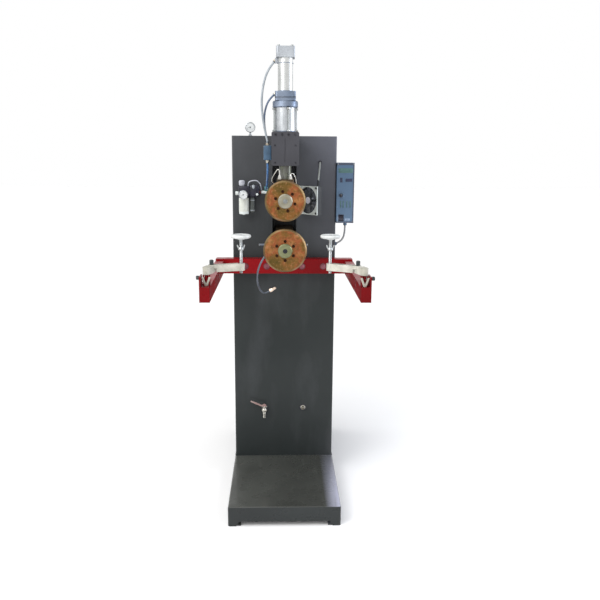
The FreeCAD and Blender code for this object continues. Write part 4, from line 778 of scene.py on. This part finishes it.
def thread(shape, at, low, high, radius, pitch=2.5, depth=0.8, segments=24):
    """A screw thread: rings whose radius dips once per pitch, winding round the post."""
    steps = 5                    # rings per pitch
    rows = math.ceil((high - low) / pitch * steps) - 1
    points, faces = [], []
    for row in range(rows + 1):
        z = low + (high - low) * row / rows
        for i in range(segments):
            phase = ((z - low) / pitch - i / segments) % 1.0
            r = radius - depth * abs(2 * phase - 1)
            x, y = polar(r, 360 * i / segments)
            points.append((at[0] + x, at[1] + y, z))
    for row in range(rows):
        for i in range(segments):
            j = (i + 1) % segments
            a, b = row * segments, (row + 1) * segments
            faces.append((a + i, a + j, b + j, b + i))
    faces.append(tuple(reversed(range(segments))))
    faces.append(tuple(rows * segments + i for i in range(segments)))
    shape.keep(points, faces)
    return shape


def support(side, elbow, post, pivot):
    """Threaded post and disc, wing nut, knobs and lever details on one side."""
    px, py = post
    screw = thread(Shape(), post, 1046.5, 1160, 5.9)
    screw.turned((px, py, 1160), UP, [(0, 0), (5.7, 0), (5.7, 9), (0, 9)], 32)
    screw.piece(side + "_threaded_post", "zinc_plate", side + "_post", True, side + "_support")
    Shape().turned((px, py, 1168), UP, [(6.2, 0.2), (11.5, 0.2), (12, 0.8), (12, 3), (14, 4.2), (29, 4.6),
        (33, 6.2), (35.7, 9.2), (36.5, 12.2), (35.8, 15.2), (33.8, 17.2), (31, 17.9), (9, 17.9),
        (8.4, 17.2), (8.4, 16), (0, 16)], 96).piece(side + "_disc", "white_disc", side + "_post",
        body=side + "_support", sharp=50)
    Shape().screw((px, py, 1183.8), UP, 6, 1.8).piece(side + "_disc_screw", "zinc_plate", side + "_post",
        body=side + "_support")

    nut = Shape().turned((px, py, 1130), UP, [(6.2, 0.3), (9.6, 0), (10.2, 0.8), (9.8, 4), (8.6, 9.4),
        (8, 10), (6.2, 9.8)], 40)
    for way in (-1, 1):
        outline = [(way * a, b) for a, b in ((7, 1.5), (9.4, 3), (12.2, 8.5), (14.6, 14), (15, 17.8),
            (13.4, 19.8), (11.2, 19.2), (10, 16), (8.8, 11.2), (7.4, 9.5))]
        if way < 0:
            outline.reverse()
        stand = Matrix.Translation((px, py + 1.8, 1130)) @ STAND
        nut.prism(outline, 3.6, stand, 1.2, 3)
    nut.piece(side + "_wing", "zinc_plate", side + "_wing_nut", True, side + "_nut", sharp=45)

    ex, ey = elbow
    grip = Shape()
    grip.prism(ribbed(7.9, 0.9, 36), 15, Matrix.Translation((ex, ey, 1083)), 0.6, 1)
    grip.turned((ex, ey, 1082.2), UP, [(4, 0), (6.2, 0), (6.6, 1), (6.6, 2)], 32)
    grip.turned((ex, ey, 1097.5), UP, [(7, 0), (6.4, 1.6), (4.6, 2.5), (0, 2.7)], 32)
    grip.piece(side + "_elbow_grip", "black_bakelite", side + "_elbow_knob", True, side + "_elbow")
    Shape().turned((ex, ey, 1058), UP, [(0, 0), (3.6, 0), (4, 0.6), (4, 25), (0, 25)],
        28).piece(side + "_elbow_screw", "zinc_plate", side + "_elbow_knob", body=side + "_elbow")

    way = -1 if side == "left" else 1
    out = Vector((way, 0, 0))
    lock = Shape().turned((way * 298.4, pivot[1], 1044), out, [(3, 0), (5.8, 0), (6.8, 1.6), (7.2, 4)],
        36)
    lock.turned((way * 298.4, pivot[1], 1044), out, [(7.2, 4), (7.5, 6), (7.4, 11.5), (6.2, 14),
        (0, 14.9)], 9)
    lock.piece(side + "_lock_grip", "black_bakelite", side + "_lock_knob", True, side + "_lock")
    Shape().turned((way * 282.5, pivot[1], 1044), out, [(0, 0), (2.6, 0), (3, 0.5), (3, 17.5), (0, 17.5)],
        20).piece(side + "_lock_screw", "zinc_plate", side + "_lock_knob", body=side + "_lock")

    along = (Vector((px, py, 0)) - Vector((ex, ey, 0))).normalized()
    ears = Shape()
    for way in (-1, 1):
        place = Vector((px, py, 1081.9)) + along * (9.9 * way)
        ears.turned(place, UP, [(0, 0), (3.1, 0), (3, 1.4), (2.2, 2.4), (0, 2.8)], 24)
    ears.piece(side + "_clamp_screws", "beam_bolt_plate", side + "_upper_link",
        body=side + "_upper_lever")
    Shape().turned((pivot[0], pivot[1], 1081.8), UP, [(0, 0), (10.8, 0), (10.4, 0.8), (0, 1.2)],
        40).piece(side + "_pivot_cap", "cream_casting", side + "_lower_link", body=side + "_lower_lever")
    fork, low, high = Shape(), 1017.2, 1049.5
    stand = Matrix.Translation((pivot[0], pivot[1] - 14.6, 0)) @ STAND
    fork.prism([(-15.5, high), (-15, high - 6), (-4.5, low), (4.5, low), (15, high - 6), (15.5, high),
        (9, high), (1.2, low + 9), (-1.2, low + 9), (-9, high)], 3.6, stand, 0.6, 2)
    fork.piece(side + "_fork", "cream_casting", "side_arms")
    for node in (side + "_lower_link", side + "_upper_link"):
        soften(node, 1.8, 3)


def weld_bead(name, start, end, slot, finish, radius=2.2, step=4.5):
    """A row of overlapping ripples along a straight joint."""
    start, end = Vector(start), Vector(end)
    count = math.ceil((end - start).length / step) - 1
    bead = Shape()
    for i in range(count + 1):
        bead.ball(start.lerp(end, i / count), (radius * 1.25, radius * 1.25, radius), 6, 10)
    bead.piece(name, finish, slot, sharp=60)


def beam_details():
    """Rounded edges, bolts with their seats, and weld beads of the red beam and its arms."""
    soften("cross_beam", 3, 3)
    soften("side_arms", 1.4, 2)
    bolts = Shape()
    for x in (-170, -77, 77, 170):
        bolts.bolt((x, -70, 992), TOWARDS, 8, 6)
    bolts.piece("beam_bolts", "beam_bolt_plate", "tie_rods_and_bolts")
    rings = Shape()
    for x in (-170, -77, 77, 170):
        rings.turned((x, -69.9, 992), TOWARDS, [(11.6, 0), (15, 0), (14.6, 0.8), (11.6, 0.8)], 40)
    rings.piece("beam_bolt_seats", "dark_red_seal", "cross_beam")
    for way, side in ((-1, "left"), (1, "right")):
        inner = way * 262
        weld_bead(side + "_arm_weld", (inner, -70.2, 966), (inner, -70.2, 1015), "side_arms",
            "red_enamel")
        weld_bead(side + "_riser_weld", (way * 292.5, -687, 1017.2), (way * 292.5, -632, 1017.2),
            "side_arms", "red_enamel", 1.8)


# ---------------------------------------------------------------- air, cooling and controls

def dial(name, at, radius):
    """A round dial that faces the operator: bezel ring, card, ticks and needle."""
    x, y, z = at
    Shape().turned(at, TOWARDS, [(radius * 0.84, -1.6), (radius * 0.86, 0.6), (radius * 0.90, 1),
        (radius * 0.97, 0.6), (radius, -1), (radius, -4)],
        64).piece(name + "_bezel", "plated_bezel", name)
    Shape().turned((x, y + 0.4, z), TOWARDS, [(radius * 0.85, 0), (0, 0.2)],
        48).piece(name + "_card", "dial_card", name)
    ink = Shape()
    marks, sweep = 8, 270
    for i in range(marks + 1):
        angle = math.radians(225 - sweep * i / marks)
        turn = Matrix.Translation((x, y + 0.2, z)) @ Matrix.Rotation(-angle, 4, "Y")
        long = 0.60 if i % 2 == 0 else 0.68
        ink.prism([(radius * long, -0.3), (radius * 0.78, -0.3), (radius * 0.78, 0.3),
            (radius * long, 0.3)], 0.3, turn @ STAND)
    turn = Matrix.Translation((x, y - 0.1, z)) @ Matrix.Rotation(-math.radians(200), 4, "Y")
    ink.prism([(-radius * 0.2, -0.6), (radius * 0.62, -0.2), (radius * 0.62, 0.2), (-radius * 0.2, 0.6)],
        0.4, turn @ STAND)
    ink.turned((x, y, z), TOWARDS, [(radius * 0.12, -0.4), (radius * 0.12, 0.6), (0, 0.8)], 20)
    ink.piece(name + "_ink", "dial_ink", name)


def air_set():
    """Filter regulator, oiler, bowls, gauge, knob and pipe fittings on the cabinet's face."""
    body = Shape().block((-194.8, -87.8, 1292.2), (-149.2, -42.2, 1336.8), 5, 3)
    body.block((-149.8, -83.8, 1292.2), (-107.2, -42.2, 1341.8), 7, 3)
    body.block((-153, -85, 1302), (-146, -45, 1330), 2)
    body.block((-186.5, -43, 1306.5), (-115.5, -20, 1321.5), 2)
    body.turned((*FILTER, 1293.5), DOWN, [(20.5, 0), (22.2, 0.6), (22.2, 5.8), (21.2, 6.6)], 60)
    body.turned((*OILER, 1293.5), DOWN, [(10.5, 0), (11.8, 0.6), (11.8, 5.8), (10.4, 6.6)], 48)
    for z in (1300, 1329):
        for x in (-190, -155):
            body.screw((x, -87.8, z), TOWARDS, 2, 0.6)
    body.piece("air_set_body", "black_moulding", "air_regulator", True)

    Shape().turned((*FILTER, 1289), DOWN, [(0, 0), (20.4, 0), (20.6, 4), (20.4, 58), (20.6, 60)],
        72).piece("filter_bowl", "ivory_bowl", "air_bowls", True)
    foot = Shape().turned((*FILTER, 1229.6), DOWN, [(20.4, 0), (21, 0.6), (21, 9), (19.6, 11.2),
        (7, 11.6), (6, 12.2), (6, 14.8), (0, 15.2)], 72)
    for way in (-1, 1):
        foot.block((-173 + way * 20.6 - 0.6, -68, 1229), (-173 + way * 20.6 + 0.4, -62, 1289), 0.3)
    foot.piece("filter_bowl_guard", "white_moulding", "air_bowls")
    Shape().turned((*OILER, 1289), DOWN, [(0, 0), (9.6, 0), (9.6, 56), (9, 60.5), (6, 64), (0, 65.5)],
        56).piece("oiler_bowl", "smoked_bowl", "air_bowls")
    clips = Shape()
    for z in (1279, 1236):
        clips.turned((*OILER, z), DOWN, [(9.6, 0), (10, 0.4), (10, 3), (9.6, 3.4)], 48)
    clips.piece("oiler_bowl_bands", "sight_dome", "air_bowls")

    dome = Shape().ball((-131.8, -83, 1333.1), (6.2, 4.2, 7.8))
    dome.turned((-131.8, -80, 1333.1), TOWARDS, [(8.8, 0), (8.8, 2), (7.2, 2.6)], 36)
    dome.piece("sight_dome", "sight_dome", "air_bowls")
    plugs = Shape().bolt((-116, -83.8, 1302.6), TOWARDS, 3.6, 2.2)
    plugs.turned((-208.5, -62, 1306), RIGHT, [(5.7, 0), (8.6, 0), (9, 0.6), (9, 6), (8.4, 6.6),
        (8.4, 13.6), (5.7, 13.6), (5.7, 0)], 6)
    plugs.piece("air_inlet_nut", "white_moulding", "air_regulator")
    Shape().turned((-173, -87.8, 1302), TOWARDS, [(0, 0), (6, 0), (6, 7.6), (17, 8), (18.8, 10),
        (18.8, 21.6)], 56).piece("air_gauge_case", "plated_bezel", "air_gauge", True)
    dial("air_gauge", (-173, -110.8, 1302), 18.9)

    Shape().turned((-108.5, -62, 1311), RIGHT, [(5, 0), (7.2, 0.6), (7.2, 9), (6.4, 10)],
        32).piece("outlet_seal", "dark_red_seal", "air_regulator")
    Shape().turned((-99, -62, 1311), RIGHT, [(5.5, 0), (6.3, 0.6), (6.3, 11), (5.8, 11.6), (5.8, 15),
        (6.3, 15.6), (6.3, 34), (5.6, 35), (0, 35)], 40).piece("outlet_nipple", "white_moulding",
        "air_regulator")
    elbow = Shape().block((-85.8, -69.8, 1316.5), (-70.2, -54.2, 1334.8), 2.2, 3)
    elbow.turned((-78, -62, 1315.5), UP, [(7, 0), (7.4, 0.6), (7.4, 3), (7, 3.6)], 6)
    elbow.piece("outlet_elbow", "teal_moulding", "air_regulator")
    swept("bypass_tube", [(-0.1540, -0.0700, 1.3360), (-0.1545, -0.0705, 1.3480),
        (-0.1480, -0.0715, 1.3560), (-0.1320, -0.0720, 1.3600), (-0.1180, -0.0720, 1.3600),
        (-0.1080, -0.0700, 1.3520), (-0.1000, -0.0660, 1.3400), (-0.0990, -0.0630, 1.3200)], 0.0024,
        "frame", "silver_moulding", "air_regulator")

    knob = Shape()
    knob.prism(ribbed(12.9, 0.8, 40), 15, Matrix.Translation((-181, -65, 1341.5)), 0.4, 1)
    knob.turned((-181, -65, 1337.4), UP, [(0, 0), (9.8, 0), (10, 4)], 40)
    knob.turned((-181, -65, 1356.5), UP, [(12.1, 0), (11.2, 2.6), (8, 4.2), (0, 4.7)], 48)
    knob.piece("regulator_cap", "silver_moulding", "regulator_knob", True, "regulator_handle")


def fan():
    """The fan's swept blades, hub label, corner screws and the grommet in the stay's hole."""
    turn, centre = FAN_TURN, FAN_CENTRE
    local = Matrix.Translation(centre) @ turn
    hub = Shape().turned(centre + turn @ Vector((0, 20, 0)), turn @ TOWARDS, [(0, 0), (19, 0), (20, 0.8),
        (20, 15), (19, 16.8), (0, 17)], 56)
    blades = 7
    for i in range(blades):
        start = math.tau * i / blades
        rows, columns = 6, 7
        points, faces = [], []
        for side in (-1, 1):
            for row in range(rows):
                radius = 18.5 + (53.8 - 18.5) * row / (rows - 1)
                chord = 11.5 + 6 * row / (rows - 1)
                pitch = math.radians(50 - 16 * row / (rows - 1))
                lead = 0.18 * (row / (rows - 1)) ** 1.5
                for column in range(columns):
                    s = column / (columns - 1) - 0.5
                    camber = 2.2 * (1 - 4 * s * s)
                    across = 2 * s * chord * math.sin(pitch) * 0.62
                    depth = 2 * s * chord * math.cos(pitch) * 0.36 + camber
                    angle = start + lead + across / radius
                    thick = side * 0.6 * (1 - abs(2 * s) ** 3)
                    points.append((radius * math.cos(angle), 11.5 + depth + thick,
                        radius * math.sin(angle)))
        grid = rows * columns
        for side in (0, 1):
            for row in range(rows - 1):
                for column in range(columns - 1):
                    a = side * grid + row * columns + column
                    face = (a, a + 1, a + columns + 1, a + columns)
                    faces.append(face if side else tuple(reversed(face)))
        edge = ([(0, c) for c in range(columns)] + [(r, columns - 1)
            for r in range(1, rows)] + [(rows - 1, c) for c in range(columns - 2, -1, -1)] + [(r, 0)
            for r in range(rows - 2, 0, -1)])
        for (r0, c0), (r1, c1) in zip(edge, edge[1:] + edge[:1]):
            a, b = r0 * columns + c0, r1 * columns + c1
            faces.append((a, b, grid + b, grid + a))
        hub.keep(points, faces, local)
    hub.piece("fan_blades", "fan_plastic", "fan_impeller", True, "fan_rotor")
    Shape().turned(centre + turn @ Vector((0, 3, 0)), turn @ TOWARDS, [(14, 0), (13.6, 0.3), (0, 0.3)],
        40).piece("fan_hub_label", "fan_hub_label", "fan_impeller", body="fan_rotor")
    screws = Shape()
    for dx in (-52.5, 52.5):
        for dz in (-52.5, 52.5):
            screws.bolt(centre + turn @ Vector((dx, 0, dz)), turn @ TOWARDS, 3.4, 2, socket=True)
    screws.piece("fan_screws", "blackened_bolt", "fan_frame")
    soften("fan_frame", 1.2, 2)
    Shape().turned((153.5, -20, 1436), TOWARDS, [(3.8, 0.6), (7.5, 0.2), (8.2, 1.6), (7, 3.4), (3.8, 3)],
        36).piece("stay_grommet", "black_moulding", "fan_frame")


def control_panel():
    """Frame, label band, windows, keys, knob, rocker bezel, screws and cable glands of the control box."""
    y = -30
    soften("control_box", 1.2, 2)
    edge = Shape()
    edge.block((225.3, y - 0.6, 1426.5), (301.6, y + 1, 1435.2), 0.4)
    edge.block((296.8, y - 0.6, 1180), (301.6, y + 1, 1426.2), 0.4)
    edge.block((225.3, y - 0.6, 1179), (301.6, y + 1, 1184), 0.4)
    edge.piece("panel_frame", "panel_edge_enamel", "control_box")
    band = Shape().block((233, y - 0.7, 1393), (295, y + 1, 1413), 0.4)
    for x in (236, 250, 266, 280):
        band.block((x, y - 1, 1398.5), (x + 9, y - 0.4, 1407.5), 0.2)
    band.piece("panel_label", "label_band", "control_box")
    window = Shape().block((264, y - 1.6, 1356), (293, y + 1, 1369), 0.6)
    window.block((240.5, y - 1.6, 1352.5), (250.5, y + 1, 1372.5), 0.6)
    window.piece("panel_display", "display_window", "control_box")
    marks = Shape()
    for x in (244, 256, 272, 286):
        marks.block((x - 2.2, y - 1.2, 1244), (x + 2.2, y + 1, 1274), 0.6)
    marks.piece("panel_keys", "label_band", "control_box")
    prints = Shape()
    for i in range(11):
        angle = math.radians(225 - 27 * i)
        turn = Matrix.Translation((245, y - 0.3, 1297)) @ Matrix.Rotation(-angle, 4, "Y") @ STAND
        prints.prism([(11.8, -0.4), (14.2, -0.4), (14.2, 0.4), (11.8, 0.4)], 0.3, turn)
    prints.block((232, y - 0.4, 1186), (237.5, y + 1, 1206), 0.3)
    prints.block((263, y - 0.4, 1188), (286, y + 1, 1198), 0.3)
    prints.piece("panel_print", "panel_print", "control_box")
    bezel = Shape()
    bezel.block((235.2, y - 1.4, 1186.8), (237.8, y + 1, 1213.2), 0.4)
    bezel.block((256.2, y - 1.4, 1186.8), (258.8, y + 1, 1213.2), 0.4)
    bezel.block((235.2, y - 1.4, 1212.2), (258.8, y + 1, 1214.4), 0.4)
    bezel.block((235.2, y - 1.4, 1185.6), (258.8, y + 1, 1187.8), 0.4)
    bezel.piece("rocker_bezel", "black_moulding", "control_box")
    knob = Shape()
    knob.turned((245, y - 0.6, 1297), TOWARDS, [(3, 0), (7.8, 0.2), (8, 1), (7.6, 3)], 40)
    knob.prism(ribbed(6.8, 0.6, 30), 9.5, Matrix.Translation((245, y - 3.4, 1297)) @ STAND, 0.4, 1)
    knob.piece("weld_knob", "black_moulding", "control_knob", True, "weld_dial")
    Shape().block((244.6, y - 13.3, 1297.5), (245.4, y - 12.8, 1303), 0.2).piece("weld_knob_pointer",
        "white_moulding", "control_knob", body="weld_dial")
    corners = Shape()
    for x in (230, 297):
        for z in (1184, 1430.5):
            corners.screw((x, y - 0.4, z), TOWARDS, 2, 0.8)
    corners.piece("panel_screws", "zinc_plate", "control_box")
    glands = Shape()
    for at, axis in (((271, 30, 1177), DOWN), ((225.6, 30, 1080), RIGHT)):
        start = Vector(at)
        glands.turned(start, axis, [(4.2, 0), (8.8, 0), (9.2, 0.6), (9.2, 3), (8.4, 3.6)], 6)
        tall = 11.5 if axis == DOWN else 6.8
        glands.turned(start + axis * 3.4, axis, [(7.8, 0), (8, 0.8), (7.8, tall * 0.6), (5.6, tall),
            (4.2, tall)], 36)
    glands.piece("cable_glands", "black_moulding", "control_box")


def water():
    """Ball valve, drain nipple, cross pipe fittings and spray nozzle."""
    x, z = -90, 322
    tap = Shape().turned((x, -20.2, z), TOWARDS, [(0, 0), (11.5, 0), (11.8, 0.4), (11.8, 2.2), (10, 2.8),
        (6.2, 3)], 40)
    tap.turned((x, -22.8, z), TOWARDS, [(6, 0), (7.8, 0), (8.4, 0.8), (8.4, 5), (7.8, 5.8), (6, 5.8)], 6)
    tap.turned((x, -28, z), TOWARDS, [(6.2, 0), (9.2, 1), (11.8, 5.6), (13, 11), (13, 22), (11.8, 28),
        (9, 33), (6, 35), (0, 35.5)], 56)
    tap.turned((x, -50, z + 10), UP, [(6, 0), (6, 4), (4, 5), (3.8, 9.2)], 32)
    tap.turned((x, -54, z - 4), DOWN, [(4.5, 0), (7.8, 0), (7.8, 8), (6.6, 9), (6.4, 12), (7, 12.6),
        (6.2, 17), (7, 17.6), (6.2, 22), (7, 22.6), (6, 27.5), (5.8, 31.8), (4.5, 31.8), (4.5, 0)], 40)
    tap.turned((88, -20.2, z), TOWARDS, [(0, 0), (11, 0), (11.2, 1.8), (7.2, 2.6)], 40)
    tap.turned((88, -22.6, z), TOWARDS, [(6, 0), (10.2, 0), (10.8, 0.6), (10.8, 3), (10.2, 3.6)], 6)
    tap.turned((88, -25, z), TOWARDS, [(4, 0), (6.6, 0), (6, 5), (6.8, 5.6), (6, 10.4), (4, 10.8),
        (4, 0)], 40)
    tap.piece("ball_valve_and_drain", "plated_brass", "water_valve", True)
    seat = Shape()
    for px in (x, 88):
        seat.turned((px, -20, z), TOWARDS, [(11, 0), (15, 0), (14.7, 0.6), (11, 0.6)], 48)
    seat.piece("hose_gaskets", "black_moulding", "water_valve")
    grip = Shape()
    lean = Matrix.Translation((x - 14, -50, z + 19.2)) @ Matrix.Rotation(math.radians(24), 4, "Y")
    grip.prism([(-53.8, -6.6), (-50, -7.4), (-20, -7.4), (0, -7.4), (0, 7.4), (-20, 7.4), (-50, 7.4),
        (-53.8, 6.6)], 3.4, lean, 1.4, 3)
    grip.prism([(-16, -7.8), (6, -9.8), (9.8, -4), (9.8, 4), (6, 9.8), (-16, 7.8)], 3.4,
        Matrix.Translation((x, -50, z + 19.2)), 1, 2)
    grip.turned((x, -50, z + 22.6), UP, [(0, 0), (6.6, 0), (6.8, 0.6), (6.8, 3.6), (6, 4.4), (0, 4.4)], 6)
    grip.piece("valve_handle", "lever_lacquer", "valve_lever", True, "water_handle")

    fittings = Shape()
    for way in (-1, 1):
        fittings.turned((way * 38, -400, 1129), (way, 0, 0), [(4.6, 0), (7, 0), (7.4, 0.6), (7.4, 6),
            (6.8, 6.8), (4.6, 6.8)], 6)
    fittings.turned((-98.5, -400, 1129), LEFT, [(4.6, 0), (5.6, 0), (5.8, 1), (0, 1.2)], 30)
    fittings.turned((86.8, -400, 1129), RIGHT, [(4.6, 0), (5.6, 0), (5.8, 1), (0, 1.2)], 30)
    fittings.piece("cross_pipe_fittings", "plated_brass", "water_pipe")
    way = Vector((18, 0, 10)).normalized()
    tip = Vector((-60, -400, 948))
    nozzle = Shape().turned(tip, way, [(3.6, 0), (5.6, 0.4), (6.2, 3)], 32)
    nozzle.turned(tip + way * 2.8, way, [(6.2, 0), (7.2, 0.6), (7.2, 9.2), (6.6, 10)], 6)
    nozzle.turned(tip + way * 12.6, way, [(6.2, 0), (5.6, 3.6), (5, 4.6), (5, 11), (4.4, 14.2), (3, 16),
        (1.4, 16.1), (1.2, 13), (0, 13)], 40)
    nozzle.piece("nozzle_tip", "nozzle_plate", "spray_nozzle", True)


def roof_gauge():
    """The little dial on the roof, with its case and stem."""
    x, y, z = -148, 40, 1583
    case = Shape().turned((x, y + 10.8, z), TOWARDS, [(0, 0), (18.6, 0), (21.2, 2.2), (21.8, 6),
        (21.8, 20)], 64)
    case.turned((x, y, 1546.2), UP, [(0, 0), (6.2, 0), (7.8, 1), (7.8, 5.2), (6.8, 6.4), (4.8, 6.6)], 6)
    case.turned((x, y, 1552), UP, [(4.6, 0), (4.6, 12), (0, 12)], 28)
    case.piece("roof_gauge_case", "plated_bezel", "roof_gauge", True)
    dial("roof_gauge", (x, y - 9.4, z), 21.9)


def cabinet_details():
    """Rounded edges, the louvred rear panel with painted shade under its louvres, its screws, welds,
    straps and slot edges.
    """
    for node in ("base_platform", "upper_arm", "guide_housing", "cylinder_top_cap", "lower_arm"):
        soften(node, 1.2, 2)
    sheet_back, panel_back, proud = 498, 498.8, 499.9
    panel = Shape().block((-219.9, sheet_back, 89.1), (219.9, panel_back, 1540.9), 0.3)
    # painted shade: dark strips under the louvres stand in for the shadowed vent openings
    vent_shadow_strips = Shape()
    for row in range(9):
        z = 1300 + 22 * row
        for x in (-120, 0, 120):
            panel.block((x - 45, sheet_back, z + 3), (x + 45, proud, z + 12), 0.9, 3)
            vent_shadow_strips.block((x - 43, sheet_back, z), (x + 43, panel_back + 0.3, z + 4), 0.2)
    panel.piece("rear_panel", "cabinet_enamel", "rear_cover", True)
    vent_shadow_strips.piece("rear_vent_shadows", "dial_ink", "rear_cover")
    head = [(5.6, 0), (5.2, 0.9), (2, 1.1), (1.7, 0.5), (0, 0.5)]
    screws = Shape()
    for x in (-210, 210):
        for i in range(6):
            screws.turned((x, panel_back, 110 + 282 * i), AWAY, head, 28)
    for x in (-105, 0, 105):
        for z in (96, 1534):
            screws.turned((x, panel_back, z), AWAY, head, 28)
    screws.piece("rear_cover_screws", "zinc_plate", "rear_cover")
    for way, side in ((-1, "left"), (1, "right")):
        weld_bead(side + "_skirt_weld", (way * 226.2, -18, 84.5), (way * 226.2, 480, 84.5),
            "cabinet_shell", "cabinet_enamel", 1.6, 6)
    weld_bead("front_skirt_weld", (-222, -21.2, 84.5), (222, -21.2, 84.5), "cabinet_shell",
        "cabinet_enamel", 1.6, 6)
    plates = Shape()
    for x in (-51, 46.2):
        plates.block((x, -339.8, 1445), (x + 4.8, -330, 1542), 1.2)
    plates.piece("housing_straps", "housing_enamel", "guide_housing")
    trim = Shape()
    for x in (-53.5, 52):
        trim.block((x, -21.2, 1060), (x + 1.5, -19.8, 1438), 0.4)
    trim.piece("slot_edges", "cabinet_enamel", "cabinet_shell")


def drive_details():
    """Motor fins, taped windings and terminal bolts inside the cabinet."""
    fins = Shape()
    for i in range(7):
        fins.turned((0, 40 + 14 * i, 1013), AWAY, [(40.2, 0), (44.5, 0.6), (44.5, 3), (40.2, 3.6)], 48)
    fins.piece("motor_fins", "motor_enamel", "gear_motor")
    tape = Shape()
    for side in (-1, 1):
        tape.block((side * 55 - 42.5, 342, 612), (side * 55 + 42.5, 378.5, 748), 10, 3)
    tape.piece("winding_tape", "taped_winding", "transformer")
    bolts = Shape()
    for x in (-95, 0, 95):
        for z in (575, 785):
            bolts.bolt((x, 341.8, z), AWAY, 5.5, 4)
    for x, z in ((31, 830), (31, 1050), (-51, 830), (-51, 1400)):
        bolts.bolt((x, 182, z), AWAY, 5.5, 4)
    bolts.piece("power_bolts", "zinc_plate", "transformer")


# ---------------------------------------------------------------- run

def finish_cad():
    for finish, nodes in CAD_FINISHES.items():
        for node in nodes.split():
            materials = NODES[node].data.materials
            materials.clear()
            materials.append(bpy.data.materials[finish])


make_camera()
make_studio()
finish_cad()
hoses()
wheel("upper_wheel", UPPER_Z, 76, 37, 45, "upper_wheel_copper", "stained_nickel", "upper_shaft")
wheel("lower_wheel", LOWER_Z, 82, 36, 30, "lower_wheel_copper", "green_stained_nickel", "lower_shaft")
head_cooling()
cylinder_details()
valve_details()
support("left", (-262.541, -595.772), (-159.480, -560.285), (-276, -646))
support("right", (258.215, -611.136), (161.974, -559.963), (276, -660))
beam_details()
air_set()
fan()
control_panel()
water()
roof_gauge()
cabinet_details()
drive_details()
